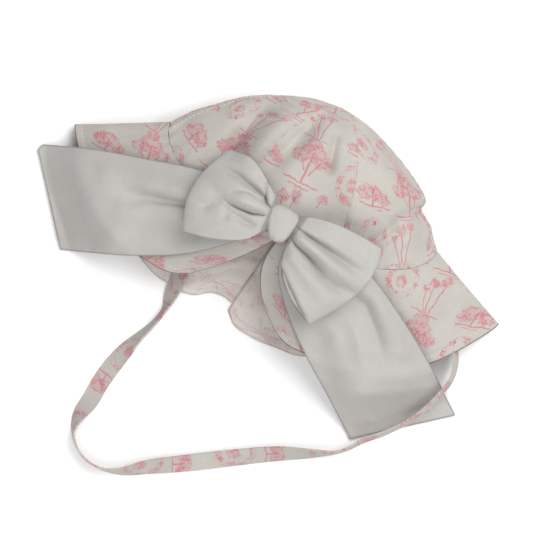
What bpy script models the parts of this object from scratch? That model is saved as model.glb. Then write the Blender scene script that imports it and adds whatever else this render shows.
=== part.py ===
"""A baby's sun hat with a bow and a chin strap, lying on its front.

Metres, +Z up. The surface that the hat lies on is Z = 0, X runs from ear to ear, and +Y points from
the brim to the top of the crown. The back of the hat faces up and carries the bow.
"""

import math

import bmesh
import bpy
import numpy as np

# Cloth walls and the clearances between neighbours.
HAT_CLOTH = 0.0014
BOW_CLOTH = 0.0012
STRAP_CLOTH = 0.0012
SEAM_GAP = 0.0005
RING_GAP = 0.0010
LAY_GAP = 0.0003

# The ring where the crown meets the brim, flattened between its back (up) and its front (down).
RING_HALF_WIDTH = 0.095
RING_BACK_DROP = 0.036
RING_FRONT_DROP = 0.028
RING_BACK_HEIGHT = 0.050
RING_EAR_HEIGHT = 0.022
RING_FRONT_HEIGHT = 0.0025

# The crown.
CROWN_RISE = 0.056
GORE_NAMES = (
    "crown_back",
    "crown_back_right",
    "crown_front_right",
    "crown_front",
    "crown_front_left",
    "crown_back_left",
)
GORE_END = 0.975

# The brim, its height at the free edge of the upper flaps, and how far the two edges of the split
# bow sideways, which fades with a power of the way to the ear. The lower layer sags onto the surface
# with a power of the way to the front seam and to the edge.
BRIM_WIDTH = 0.066
FLAP_HEIGHT = 0.029
SPLIT_CURL_RIGHT = 0.007
SPLIT_CURL_LEFT = 0.0028
SPLIT_CURL_FADE = 6
FRONT_SAG = 0.5

# The bow.
KNOT_X = -0.002
KNOT_Y = -0.026
KNOT_LENGTH = 0.020
KNOT_WIDTH = 0.021
KNOT_DEPTH = 0.019
KNOT_WAIST = 0.92
KNOT_PINCH = 0.10
KNOT_CROWN = 1.08
TAIL_LENGTH = 0.153
TAIL_WIDTH = 0.070
LOOP_LENGTH = 0.048
LOOP_WIDTH = 0.070
LOOP_PUFF = 0.0085
LOOP_PINCH = 0.0022
LOOP_DROOP = 0.010
LOOP_SEAT = 0.30
KNOT_GAP = 0.0006

# The chin strap.
STRAP_WIDTH = 0.0115

# How many faces each piece of cloth has across and along.
GORE_CELLS = (8, 14)
BRIM_CELLS = (36, 6)
TAIL_CELLS = (8, 22)
LOOP_CELLS = (14, 20)
STRAP_CELLS = (2, 84)

# How the crown closes from the ring (up = 0) to the top point (up = 1): share of the ring's width,
# share of the rise, what is left of the ring's own drop, and share of the ring's half depth.
CROWN_SECTIONS = (
    # up, width, rise, drop, depth
    (0.00, 1.000, 0.000, 1.00, 1.00),
    (0.15, 0.935, 0.220, 0.76, 1.15),
    (0.30, 0.840, 0.400, 0.47, 1.22),
    (0.50, 0.660, 0.620, 0.20, 1.14),
    (0.70, 0.420, 0.820, 0.05, 0.86),
    (0.85, 0.215, 0.945, 0.00, 0.48),
    (1.00, 0.000, 1.000, 0.00, 0.00),
)

# Soft folds. Each is a line with a rounded section: the places of its two ends, how far it reaches
# to its sides, and how far the cloth stands up in its middle, or is pressed in below zero.
# The crown's are seen from above: places are shares of the ring's half width across and of the rise,
# the reach is a share of the half width, and the height one of the back's height.
CROWN_FOLDS = (
    # x0, y0, x1, y1, reach, height
    (-0.44, 0.80, -0.56, 0.08, 0.090, -0.130),
    (-0.13, 0.78, -0.21, 0.10, 0.070, -0.080),
    (0.00, 0.60, 0.09, 0.28, 0.050, -0.060),
    (0.67, 0.08, 0.78, 0.36, 0.060, -0.110),
    (0.74, -0.16, 0.86, 0.20, 0.040, 0.060),
)

# The brim's outer edge, from the split at the back (round = 0) over the ear (0.5) to the seam at the
# centre front (1): how far it lies from the ring, outwards and downwards, as shares of the brim's
# width, and its height as a share of the flap's.
BRIM_RIGHT_EDGE = (
    # round, out, down, height
    (0.00, 0.15, 0.66, 0.98),
    (0.05, 0.26, 0.87, 1.00),
    (0.12, 0.30, 0.93, 1.00),
    (0.20, 0.42, 0.91, 0.96),
    (0.30, 0.55, 0.86, 0.86),
    (0.40, 0.67, 0.67, 0.62),
    (0.46, 0.78, 0.47, 0.38),
    (0.50, 0.87, 0.34, 0.20),
    (0.54, 0.77, 0.50, 0.08),
    (0.60, 0.65, 0.66, 0.03),
    (0.70, 0.50, 0.85, 0.00),
    (0.80, 0.32, 0.98, 0.00),
    (0.90, 0.13, 1.06, 0.00),
    (0.96, 0.01, 1.08, 0.00),
    (1.00, -0.13, 0.95, 0.00),
)
BRIM_LEFT_EDGE = (
    # round, out, down, height
    (0.00, 0.62, 0.68, 0.92),
    (0.05, 0.64, 0.77, 0.94),
    (0.12, 0.66, 0.79, 0.95),
    (0.20, 0.64, 0.77, 0.92),
    (0.30, 0.63, 0.72, 0.84),
    (0.40, 0.68, 0.60, 0.62),
    (0.46, 0.78, 0.46, 0.38),
    (0.50, 0.85, 0.40, 0.20),
    (0.54, 0.77, 0.52, 0.08),
    (0.60, 0.65, 0.66, 0.03),
    (0.70, 0.48, 0.84, 0.00),
    (0.80, 0.38, 0.94, 0.00),
    (0.88, 0.42, 1.02, 0.00),
    (0.94, 0.29, 0.99, 0.00),
    (1.00, 0.13, 0.95, 0.00),
)

# The two long edges of each tail, from the knot to its end, as shares of the tail's length, measured
# from the middle of the knot's side, and how far apart they are there as a share of that length.
TAIL_EDGE_SPREAD = 0.47
TAIL_LEFT_EDGES = (
    # along, x_a, y_a, x_b, y_b
    (0.00, 0.000, 0.030, 0.000, -0.065),
    (0.15, -0.140, 0.060, -0.080, -0.150),
    (0.35, -0.350, 0.046, -0.225, -0.280),
    (0.60, -0.595, -0.013, -0.415, -0.390),
    (0.80, -0.810, -0.072, -0.580, -0.460),
    (1.00, -1.015, -0.150, -0.734, -0.517),
)
TAIL_RIGHT_EDGES = (
    # along, x_a, y_a, x_b, y_b
    (0.00, 0.000, 0.020, 0.000, -0.075),
    (0.15, 0.140, 0.006, 0.015, -0.185),
    (0.35, 0.350, -0.033, 0.090, -0.300),
    (0.60, 0.565, -0.137, 0.260, -0.455),
    (0.80, 0.755, -0.255, 0.420, -0.570),
    (1.00, 0.943, -0.400, 0.584, -0.687),
)

# The upper and lower edges of each loop, from the knot to its outer fold, as shares of the loop's
# length and of half its width, measured from the middle of the knot's side.
LOOP_LEFT_EDGES = (
    # along, x_a, y_a, x_b, y_b
    (0.00, 0.000, 0.25, 0.000, -0.25),
    (0.30, -0.250, 0.52, -0.190, -0.60),
    (0.60, -0.530, 0.76, -0.510, -0.82),
    (1.00, -0.860, 0.76, -0.950, -0.97),
)
LOOP_RIGHT_EDGES = (
    # along, x_a, y_a, x_b, y_b
    (0.00, 0.000, 0.22, 0.000, -0.26),
    (0.30, 0.310, 0.34, 0.090, -0.80),
    (0.60, 0.660, 0.39, 0.340, -1.18),
    (1.00, 1.130, 0.35, 0.710, -1.47),
)

# The folds of the bow, seen from above from the middle of the knot. Those of a tail are shares of its
# length and of its fold height, those of a loop's upper side shares of its length and of its puff.
TAIL_LEFT_FOLDS = (
    # x0, y0, x1, y1, reach, height
    (-0.44, 0.00, -0.60, -0.03, 0.050, 0.80),
    (-0.40, -0.17, -0.62, -0.25, 0.060, 0.55),
    (-0.80, -0.13, -0.62, -0.33, 0.070, 0.60),
    (-0.97, -0.25, -0.80, -0.45, 0.050, 0.45),
)
TAIL_RIGHT_FOLDS = (
    # x0, y0, x1, y1, reach, height
    (0.42, -0.08, 0.70, -0.27, 0.045, 0.55),
    (0.36, -0.27, 0.55, -0.50, 0.060, 0.60),
    (0.70, -0.52, 0.88, -0.42, 0.040, 0.40),
)
LOOP_LEFT_FOLDS = (
    # x0, y0, x1, y1, reach, height
    (-0.95, 0.26, -0.35, 0.18, 0.090, -0.40),
    (-0.80, 0.02, -0.40, 0.02, 0.080, 0.25),
    (-0.85, -0.14, -0.40, -0.10, 0.080, -0.35),
)
LOOP_RIGHT_FOLDS = (
    # x0, y0, x1, y1, reach, height
    (0.35, -0.04, 1.25, -0.17, 0.090, -0.40),
    (0.40, -0.17, 1.00, -0.28, 0.090, 0.20),
    (0.35, -0.28, 1.20, -0.50, 0.100, -0.45),
)
TAIL_FOLD_HEIGHT = 0.004

# The loop's outer fold bellies out in its middle and thins to its edges. Its turn is a power of the
# sine of the way round, and its puff follows a part of a half wave.
LOOP_BELLY = 0.22
LOOP_EDGE_THINNING = 0.12
LOOP_TURN = 0.6
LOOP_SWELL = 0.8
LOOP_SWELL_END = 0.72

# The chin strap's middle line, point by point from the left ear to the right ear. The places are
# shares of the ring's half width, and lean is how far the strip stands on its edge: 0 lies flat and
# 90 stands upright. The strip rests on what is under it, so its height isn't in the list.
STRAP_ROUTE = (
    # x, y, lean
    (-0.880, -0.110, 0),
    (-0.800, -0.330, 0),
    (-0.660, -0.620, 0),
    (-0.545, -0.860, 8),
    (-0.500, -1.010, 20),
    (-0.494, -1.175, 15),
    (-0.535, -1.305, 8),
    (-0.615, -1.500, 0),
    (-0.665, -1.640, 4),
    (-0.690, -1.820, 25),
    (-0.700, -2.020, 50),
    (-0.692, -2.160, 72),
    (-0.640, -2.250, 78),
    (-0.515, -2.310, 72),
    (-0.385, -2.320, 60),
    (-0.190, -2.210, 40),
    (0.150, -2.020, 15),
    (0.400, -1.840, 6),
    (0.600, -1.730, 6),
    (0.835, -1.625, 10),
    (0.985, -1.525, 25),
    (1.115, -1.375, 40),
    (1.252, -1.210, 45),
    (1.330, -1.065, 40),
    (1.425, -0.890, 45),
    (1.462, -0.750, 38),
    (1.425, -0.620, 15),
    (1.300, -0.490, 4),
    (1.120, -0.320, 0),
    (0.900, -0.110, 0),
)

# The grid that records how high the cloth laid so far reaches, and how many points each surface
# gives to it. The strap's hidden ends lie on the front half of the hat alone, and the strap crosses
# only the ends of the tails.
FIELD_CELL = 0.0015
CROWN_SAMPLES = (400, 120)
BRIM_SAMPLES = (300, 90)
TAIL_SAMPLES = (80, 160)
TAIL_END_SAMPLE = 138
BRIM_FRONT_START = 0.51
CROWN_FRONT_START = 0.26
CLOTH_EASE = 0.0025
CLOTH_SLOPE = 0.75
SLOPE_ROOM = 1.15
RING_SAMPLES = 1441

HAT_COLOUR = (0.82, 0.74, 0.70, 1.0)
BOW_COLOUR = (0.78, 0.78, 0.75, 1.0)


def smooth_rows(table, share):
    """The table's other columns at a share of its first one, on a smooth curve through its rows."""
    rows = np.array(table, float)
    at, values = rows[:, 0], rows[:, 1:]
    slopes = np.gradient(values, at, axis=0)
    share = np.clip(share, at[0], at[-1])
    low = np.clip(np.searchsorted(at, share, side="right") - 1, 0, len(at) - 2)
    span = at[low + 1] - at[low]
    t = ((share - at[low]) / span)[..., None]
    span = span[..., None]
    start, end = values[low], values[low + 1]
    return (
        start * (1 + 2 * t) * (1 - t) ** 2
        + end * t**2 * (3 - 2 * t)
        + slopes[low] * span * t * (1 - t) ** 2
        + slopes[low + 1] * span * t**2 * (t - 1)
    )


def ring_at(angle):
    """The ring's point at an angle round it: 0 is the centre back and pi the centre front."""
    turn = np.cos(angle)
    drop = np.where(turn > 0, RING_BACK_DROP, RING_FRONT_DROP)
    middle = (RING_BACK_HEIGHT + RING_FRONT_HEIGHT) / 2
    swing = (RING_BACK_HEIGHT - RING_FRONT_HEIGHT) / 2
    lift = (middle - RING_EAR_HEIGHT) / 2
    height = middle - lift + swing * turn + lift * np.cos(2 * angle)
    return np.stack([RING_HALF_WIDTH * np.sin(angle), -drop * abs(turn), height], axis=-1)


RING_ANGLES = np.linspace(0, 2 * math.pi, RING_SAMPLES)
RING_STEPS = np.linalg.norm(np.diff(ring_at(RING_ANGLES), axis=0), axis=1)
RING_ALONG = np.concatenate([[0], np.cumsum(RING_STEPS)])
RING_LENGTH = float(RING_ALONG[-1])


def ring_angle(share):
    """The angle at a share of the ring's length, measured from the centre back towards +X."""
    whole = np.floor(share)
    angle = np.interp((share - whole) * RING_LENGTH, RING_ALONG, RING_ANGLES)
    return angle + 2 * math.pi * whole


def fold_share(folds, x, y, across, up):
    """The folds' height at places seen from above, as the share that their table gives.

    The table's places are shares of the lengths across and up, and its reaches shares of across.
    """
    total = np.zeros_like(x)
    for x0, y0, x1, y1, reach, height in folds:
        start = np.array([x0 * across, y0 * up])
        run = np.array([x1 * across, y1 * up]) - start
        along = ((x - start[0]) * run[0] + (y - start[1]) * run[1]) / (run @ run)
        along = np.clip(along, 0, 1)
        away = np.hypot(x - start[0] - along * run[0], y - start[1] - along * run[1])
        total += height * np.exp(-((away / (reach * across)) ** 2))
    return total


def crown_point(share, up):
    """The crown's middle surface at a share of the ring's length and a share of the way to the top."""
    ring = ring_at(ring_angle(share))
    width, rise, drop, depth = np.moveaxis(smooth_rows(CROWN_SECTIONS, up), -1, 0)
    x = ring[..., 0] * width
    y = ring[..., 1] * drop + CROWN_RISE * rise
    z = RING_EAR_HEIGHT + (ring[..., 2] - RING_EAR_HEIGHT) * depth
    back = np.clip((z - RING_EAR_HEIGHT) / (RING_BACK_HEIGHT - RING_EAR_HEIGHT), 0, 1)
    z = z + fold_share(CROWN_FOLDS, x, y, RING_HALF_WIDTH, CROWN_RISE) * RING_BACK_HEIGHT * back
    return np.stack([x, y, np.maximum(z, HAT_CLOTH / 2)], axis=-1)


def gore_point(number, across_share, up):
    """A point of one gore. The grid's columns crowd at its two seams, where the ears are sharp."""
    across = np.sin(math.pi * (across_share - 0.5))
    up = up * GORE_END
    width = smooth_rows(CROWN_SECTIONS, up)[..., 0]
    half = 0.5 / len(GORE_NAMES) - SEAM_GAP / 2 / (RING_LENGTH * width)
    return crown_point(number / len(GORE_NAMES) + half * across, up)


def brim_point(side, round_share, out_share):
    """A point of one brim half. Side is 1 for the right half and -1 for the left one."""
    edge, curl = (BRIM_RIGHT_EDGE, SPLIT_CURL_RIGHT) if side > 0 else (BRIM_LEFT_EDGE, -SPLIT_CURL_LEFT)
    trim = SEAM_GAP / 2 / (RING_LENGTH / 2)
    along = trim + (1 - 2 * trim) * round_share
    ring = ring_at(ring_angle(side * along / 2))
    out, down, height = np.moveaxis(smooth_rows(edge, round_share), -1, 0)
    start = RING_GAP / BRIM_WIDTH
    reach = start + (1 - start) * out_share
    floor = HAT_CLOTH / 2
    x = ring[..., 0] + side * out * BRIM_WIDTH * reach
    y = ring[..., 1] - down * BRIM_WIDTH * reach
    edge_z = floor + height * FLAP_HEIGHT
    z = ring[..., 2] + (edge_z - ring[..., 2]) * reach
    back = np.clip(1 - 2 * round_share, 0, 1)
    x = x - curl * np.sin(math.pi * reach) * back**SPLIT_CURL_FADE
    front = np.clip(2 * round_share - 1, 0, 1)
    sag = (front * np.sin(math.pi * reach / 2)) ** FRONT_SAG * (reach < 1)
    z = z - (z - floor) * sag
    return np.stack([x, y, np.maximum(z, floor)], axis=-1)


class LaidCloth:
    """How high the cloth laid so far reaches, on a square grid seen from above."""

    def __init__(self):
        """Start with the bare surface."""
        self.reach = TAIL_LENGTH + RING_HALF_WIDTH + BRIM_WIDTH
        self.count = int(2 * self.reach / FIELD_CELL)
        self.top = np.zeros((self.count, self.count))

    def cells(self, x, y):
        """The grid's own coordinates of places in metres."""
        limit = self.count - 1.001
        return [np.clip((v + self.reach) / FIELD_CELL, 0, limit) for v in (x, y)]

    def add(self, points, wall):
        """Record a surface of the given wall, given by points closer together than a cell."""
        column, row = self.cells(points[..., 0], points[..., 1])
        place = (np.rint(column).astype(int).ravel(), np.rint(row).astype(int).ravel())
        np.maximum.at(self.top, place, points[..., 2].ravel() + wall / 2)

    def bridged(self):
        """The heights with a slope beside each step, as stiff cloth hangs over an edge."""
        field = self.top
        fall = CLOTH_SLOPE * FIELD_CELL
        for _ in range(int(field.max() / fall)):
            for axis in (0, 1):
                beside = np.maximum(np.roll(field, 1, axis), np.roll(field, -1, axis))
                field = np.maximum(field, beside - fall)
        return field

    def eased(self, reach):
        """The bridged heights, rounded over the given reach and nowhere lower than the cloth."""
        count = max(1, round(reach / FIELD_CELL))
        field = self.bridged()
        for fold in (np.maximum.reduce, lambda f: np.mean(f, axis=0)):
            for axis in (0, 1):
                field = fold([np.roll(field, s, axis) for s in range(-count, count + 1)])
        return field

    def height(self, x, y, reach=CLOTH_EASE):
        """The eased height at places in metres."""
        field = self.eased(reach)
        column, row = self.cells(x, y)
        i, j = column.astype(int), row.astype(int)
        s, t = column - i, row - j
        near = field[i, j] * (1 - s) + field[i + 1, j] * s
        far = field[i, j + 1] * (1 - s) + field[i + 1, j + 1] * s
        return near * (1 - t) + far * t


def even_grid(columns, rows):
    """Two arrays of shares from 0 to 1 over a grid."""
    return np.meshgrid(np.linspace(0, 1, columns), np.linspace(0, 1, rows), indexing="ij")


def lay_hat(field):
    """Record the crown and the brim on the field."""
    share, up = even_grid(*CROWN_SAMPLES)
    field.add(crown_point(share, up), HAT_CLOTH)
    along, out = even_grid(*BRIM_SAMPLES)
    for side in (1, -1):
        field.add(brim_point(side, along, out), HAT_CLOTH)


def lay_hat_front(field):
    """Record only the lower half of the hat, on which the hidden ends of the strap lie."""
    along, out = even_grid(*BRIM_SAMPLES)
    for side in (1, -1):
        field.add(brim_point(side, BRIM_FRONT_START + (1 - BRIM_FRONT_START) * along, out), HAT_CLOTH)
    share, up = even_grid(*CROWN_SAMPLES)
    front_share = CROWN_FRONT_START + (1 - 2 * CROWN_FRONT_START) * share
    field.add(crown_point(front_share, up), HAT_CLOTH)


def knot_floor(field):
    """The height on which the knot sits."""
    return float(field.height(np.array(KNOT_X), np.array(KNOT_Y))) + LAY_GAP


def knot_side(edges):
    """Where a tail or loop starts: just clear of the side of the knot that its table leaves."""
    side = 1 if edges[-1][1] > 0 else -1
    return KNOT_X + side * (KNOT_WAIST * KNOT_LENGTH / 2 + KNOT_GAP)


def tail_point(edges, folds, field, across, along):
    """A point of a tail. Across runs from one long edge to the other, along from the knot."""
    x_a, y_a, x_b, y_b = np.moveaxis(smooth_rows(edges, along), -1, 0) * TAIL_LENGTH
    middle_x, middle_y = (x_a + x_b) / 2, (y_a + y_b) / 2
    spread = (2 * across - 1) / 2 * TAIL_WIDTH / (TAIL_EDGE_SPREAD * TAIL_LENGTH)
    x = knot_side(edges) + middle_x + (x_a - x_b) * spread
    y = KNOT_Y + middle_y + (y_a - y_b) * spread
    z = field.height(x, y) + LAY_GAP + SLOPE_ROOM * BOW_CLOTH / 2
    fold = fold_share(folds, x - KNOT_X, y - KNOT_Y, TAIL_LENGTH, TAIL_LENGTH) * TAIL_FOLD_HEIGHT
    return np.stack([x, y, z + fold], axis=-1)


def loop_point(edges, folds, field, seat, across, round_share):
    """A point of a loop. Round runs from the knot over the top, round the fold and back below."""
    turn = math.pi * round_share
    along = np.sin(turn) ** LOOP_TURN
    x_a, y_a, x_b, y_b = np.moveaxis(smooth_rows(edges, along), -1, 0)
    aside = 2 * across - 1
    x = (x_a + x_b) / 2 + (x_a - x_b) / 2 * aside
    y = (y_a + y_b) / 2 + (y_a - y_b) / 2 * aside
    x = x * (1 + LOOP_BELLY * (1 - aside**2) * along**2)
    x = knot_side(edges) + LOOP_LENGTH * x
    y = KNOT_Y + LOOP_WIDTH / 2 * y
    swell = np.sin(math.pi * LOOP_SWELL_END * along**LOOP_SWELL)
    puff = LOOP_PINCH + (LOOP_PUFF - LOOP_PINCH) * swell
    puff = puff * (1 - LOOP_EDGE_THINNING * aside**2)
    laid = field.height(x, y) + LAY_GAP + SLOPE_ROOM * BOW_CLOTH / 2
    base = np.maximum(laid, seat - LOOP_DROOP * along)
    fold = fold_share(folds, x - KNOT_X, y - KNOT_Y, LOOP_LENGTH, LOOP_LENGTH) * puff
    z = base + puff * (1 + np.cos(turn)) + fold * np.maximum(np.cos(turn), 0)
    return np.stack([x, y, z], axis=-1)


def smooth_path(points, count):
    """Points spread evenly over a smooth curve through the given ones."""
    points = np.array(points, float)
    steps = np.linalg.norm(np.diff(points[:, :2], axis=0), axis=1)
    at = np.concatenate([[0], np.cumsum(steps)])
    table = np.column_stack([at, points])
    return smooth_rows(table, np.linspace(0, at[-1], count))


def strap_sections(field):
    """The strap's middle points, and its width's direction at each of them."""
    path = smooth_path(
        [(x * RING_HALF_WIDTH, y * RING_HALF_WIDTH, lean) for x, y, lean in STRAP_ROUTE],
        STRAP_CELLS[1] + 1,
    )
    x, y, lean = path[:, 0], path[:, 1], np.radians(path[:, 2])
    stand = STRAP_WIDTH / 2 * np.sin(lean) + STRAP_CLOTH / 2 * np.cos(lean)
    z = field.height(x, y, STRAP_WIDTH / 2) + stand + LAY_GAP
    middle = np.stack([x, y, z], axis=-1)
    forward = np.gradient(middle[:, :2], axis=0)
    forward /= np.linalg.norm(forward, axis=1, keepdims=True)
    flat = np.stack([-forward[:, 1], forward[:, 0]], axis=-1) * np.cos(lean)[:, None]
    return middle, np.column_stack([flat, np.sin(lean)])


def strap_point(sections, across, along):
    """A point of the strap. Across runs over its width, along from the left ear to the right."""
    middle, wide = sections
    at = np.linspace(0, 1, len(middle))
    centre = np.stack([np.interp(along, at, middle[:, k]) for k in range(3)], axis=-1)
    side = np.stack([np.interp(along, at, wide[:, k]) for k in range(3)], axis=-1)
    return centre + side * ((across - 0.5) * STRAP_WIDTH)[..., None]


def material(name, colour, roughness):
    """A cloth material."""
    made = bpy.data.materials.new(name)
    made.use_nodes = True
    shader = made.node_tree.nodes["Principled BSDF"]
    shader.inputs["Base Color"].default_value = colour
    shader.inputs["Roughness"].default_value = roughness
    shader.inputs["Metallic"].default_value = 0.0
    made.diffuse_color = colour
    return made


def link(name, mesh, collection, dress):
    """A new object for a mesh, smooth and with its material."""
    mesh.materials.append(dress)
    mesh.shade_smooth()
    made = bpy.data.objects.new(name, mesh)
    collection.objects.link(made)
    return made


def cloth(name, collection, dress, cells, place, wall):
    """A piece of cloth: a flat grid laid on a surface and given its wall.

    The surface's function takes two arrays of shares from 0 to 1 and returns the points.
    """
    net = bmesh.new()
    bmesh.ops.create_grid(net, x_segments=cells[0], y_segments=cells[1], size=1)
    shares = (np.array([v.co[:2] for v in net.verts]) + 1) / 2
    for vertex, point in zip(net.verts, place(shares[:, 0], shares[:, 1])):
        vertex.co = point
    mesh = bpy.data.meshes.new(name)
    net.to_mesh(mesh)
    net.free()
    made = link(name, mesh, collection, dress)
    shell = made.modifiers.new("wall", "SOLIDIFY")
    shell.thickness = wall
    shell.offset = 0
    shell.use_even_offset = True
    return made


def knot(collection, dress, seat):
    """The bow's knot: a soft wrapped block, drawn in where the loops leave it."""
    net = bmesh.new()
    bmesh.ops.create_cube(net, size=1)
    bmesh.ops.subdivide_edges(net, edges=net.edges[:], cuts=1, use_grid_fill=True)
    for vertex in net.verts:
        x, y, z = vertex.co
        at_end, at_edge = abs(x) > 0.25, abs(y) > 0.25
        if at_end and not at_edge:
            x *= 1 - KNOT_PINCH
        if z > 0 and not at_end:
            z *= KNOT_CROWN
        vertex.co = (x * KNOT_LENGTH, y * KNOT_WIDTH, z * KNOT_DEPTH)
    mesh = bpy.data.meshes.new("bow_knot")
    net.to_mesh(mesh)
    net.free()
    made = link("bow_knot", mesh, collection, dress)
    made.location = (KNOT_X, KNOT_Y, seat + KNOT_DEPTH / 2)
    soft = made.modifiers.new("soft", "SUBSURF")
    soft.levels = soft.render_levels = 2
    return made


def clear_scene():
    """Remove what the scene holds."""
    for old in list(bpy.data.objects):
        bpy.data.objects.remove(old, do_unlink=True)


def build():
    """Make the hat."""
    clear_scene()
    hat = bpy.data.collections.new("sun_hat")
    bpy.context.scene.collection.children.link(hat)
    print_cloth = material("printed_cotton", HAT_COLOUR, 0.85)
    bow_cloth = material("bow_cotton", BOW_COLOUR, 0.85)

    for number, name in enumerate(GORE_NAMES):
        cloth(name, hat, print_cloth, GORE_CELLS,
              lambda a, b, n=number: gore_point(n, a, b), HAT_CLOTH)
    for side, name in ((1, "brim_right"), (-1, "brim_left")):
        cloth(name, hat, print_cloth, BRIM_CELLS,
              lambda a, b, s=side: brim_point(s, a, b), HAT_CLOTH)

    under_bow = LaidCloth()
    lay_hat(under_bow)
    seat = knot_floor(under_bow)
    tails = (
        ("bow_tail_left", TAIL_LEFT_EDGES, TAIL_LEFT_FOLDS),
        ("bow_tail_right", TAIL_RIGHT_EDGES, TAIL_RIGHT_FOLDS),
    )
    for name, edges, folds in tails:
        cloth(name, hat, bow_cloth, TAIL_CELLS,
              lambda a, b, e=edges, f=folds: tail_point(e, f, under_bow, a, b), BOW_CLOTH)

    under_loops = LaidCloth()
    lay_hat(under_loops)
    under_strap = LaidCloth()
    lay_hat_front(under_strap)
    across, along = even_grid(*TAIL_SAMPLES)
    for name, edges, folds in tails:
        laid = tail_point(edges, folds, under_bow, across, along)
        under_loops.add(laid, BOW_CLOTH)
        under_strap.add(laid[:, TAIL_END_SAMPLE:], BOW_CLOTH)

    loop_seat = seat + KNOT_DEPTH * LOOP_SEAT
    loops = (
        ("bow_loop_left", LOOP_LEFT_EDGES, LOOP_LEFT_FOLDS),
        ("bow_loop_right", LOOP_RIGHT_EDGES, LOOP_RIGHT_FOLDS),
    )
    for name, edges, folds in loops:
        cloth(name, hat, bow_cloth, LOOP_CELLS,
              lambda a, b, e=edges, f=folds: loop_point(e, f, under_loops, loop_seat, a, b), BOW_CLOTH)
    knot(hat, bow_cloth, seat)

    sections = strap_sections(under_strap)
    cloth("chin_strap", hat, print_cloth, STRAP_CELLS,
          lambda a, b: strap_point(sections, a, b), STRAP_CLOTH)


build()
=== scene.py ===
"""The looks of a baby's sun hat that lies on its front, its bow and the back of the brim up.

Every cloth piece is a fine grid laid on the same surfaces as the solids of the frame, with its folds,
puckers, hems and stitches, and with its own UV map in metres of flat cloth.
"""

from __future__ import annotations

import logging
import math
from dataclasses import dataclass, field
from enum import Enum
from typing import Callable, Sequence

import bpy
import numpy as np
from mathutils import Matrix, Vector

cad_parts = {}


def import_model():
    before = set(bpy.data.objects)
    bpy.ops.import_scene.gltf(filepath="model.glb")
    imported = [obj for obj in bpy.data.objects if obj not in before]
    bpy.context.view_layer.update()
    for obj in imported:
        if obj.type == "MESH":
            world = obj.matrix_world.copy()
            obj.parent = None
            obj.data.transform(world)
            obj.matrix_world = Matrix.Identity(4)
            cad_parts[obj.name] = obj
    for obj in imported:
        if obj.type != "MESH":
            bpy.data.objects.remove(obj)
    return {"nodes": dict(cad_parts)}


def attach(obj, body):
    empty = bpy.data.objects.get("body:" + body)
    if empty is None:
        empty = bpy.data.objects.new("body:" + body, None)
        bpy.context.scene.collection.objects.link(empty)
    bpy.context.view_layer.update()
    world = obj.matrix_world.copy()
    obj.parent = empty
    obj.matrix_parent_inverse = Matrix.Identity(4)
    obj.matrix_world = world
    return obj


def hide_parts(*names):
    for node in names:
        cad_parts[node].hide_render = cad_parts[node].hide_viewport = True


log = logging.getLogger("sun_hat")

Array = np.ndarray
Surface = Callable[[Array, Array], Array]
Height = Callable[[Array, Array], Array]
Socket = bpy.types.NodeSocket

BODY = "root"
MM = 0.001
PER_METRE = 1000.0
TINY = 1e-12
SMOOTH_ANGLE = math.radians(50)
COLOUR_MIX_INPUTS = (0, 6, 7)
COLOUR_MIX_RESULT = 2


class Slot(Enum):
    """The record's material slots."""

    PRINT = "printed_cotton"
    BOW = "bow_cotton"


class Side(Enum):
    """The two halves of the hat, seen from its back."""

    LEFT = -1
    RIGHT = 1


def smooth_rows(table: Sequence[Sequence[float]], share: Array) -> Array:
    """Read a table on a smooth curve through its rows.

    Args:
        table: Rows whose first column rises and whose others are read.
        share: Where to read it, in terms of the first column.

    Returns:
        The other columns, as the last axis.
    """
    rows = np.array(table, float)
    at, values = rows[:, 0], rows[:, 1:]
    slopes = np.gradient(values, at, axis=0)
    share = np.clip(share, at[0], at[-1])
    low = np.clip(np.searchsorted(at, share, side="right") - 1, 0, len(at) - 2)
    span = at[low + 1] - at[low]
    t = ((share - at[low]) / span)[..., None]
    span = span[..., None]
    return (
        values[low] * (1 + 2 * t) * (1 - t) ** 2
        + values[low + 1] * t**2 * (3 - 2 * t)
        + slopes[low] * span * t * (1 - t) ** 2
        + slopes[low + 1] * span * t**2 * (t - 1)
    )


def lengths_along(line: Array) -> Array:
    """The length along a line up to each of its points."""
    steps = np.linalg.norm(np.diff(line, axis=0), axis=1)
    return np.concatenate([[0], np.cumsum(steps)])


def read_line(at: Array, along: Array, line: Array) -> Array:
    """Read a line between its points.

    Args:
        at: Where to read it.
        along: Where each of its points is, in the same measure.
        line: Its points.

    Returns:
        The places, as the last axis.
    """
    return np.stack([np.interp(at, along, line[:, k]) for k in range(3)], -1)


Folds = Sequence[Sequence[Sequence[float]]]


def fold_heights(folds: Folds, x: Array, y: Array, unit: float) -> Array:
    """Add up soft folds, each a bent line with a rounded section.

    Args:
        folds: The folds, each a list of x, y, reach and height along its line. All but the height
            are shares of the unit.
        x: Places along the first axis, in metres.
        y: Places along the second axis, in metres.
        unit: The length that the places and reaches are shares of.

    Returns:
        The height at each place, in the folds' own measure of height.
    """
    total = np.zeros(np.broadcast(x, y).shape)
    for fold in folds:
        nearest = np.full(total.shape, np.inf)
        height = np.zeros(total.shape)
        for (x0, y0, reach0, high0), (x1, y1, reach1, high1) in zip(fold, fold[1:]):
            run = np.array([x1 - x0, y1 - y0])
            off_x, off_y = x / unit - x0, y / unit - y0
            along = np.clip((off_x * run[0] + off_y * run[1]) / (run @ run), 0, 1)
            away = np.hypot(off_x - along * run[0], off_y - along * run[1])
            away = away / (reach0 + (reach1 - reach0) * along)
            height = np.where(away < nearest, high0 + (high1 - high0) * along, height)
            nearest = np.minimum(nearest, away)
        total += height * np.exp(-(nearest**2))
    return total


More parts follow.
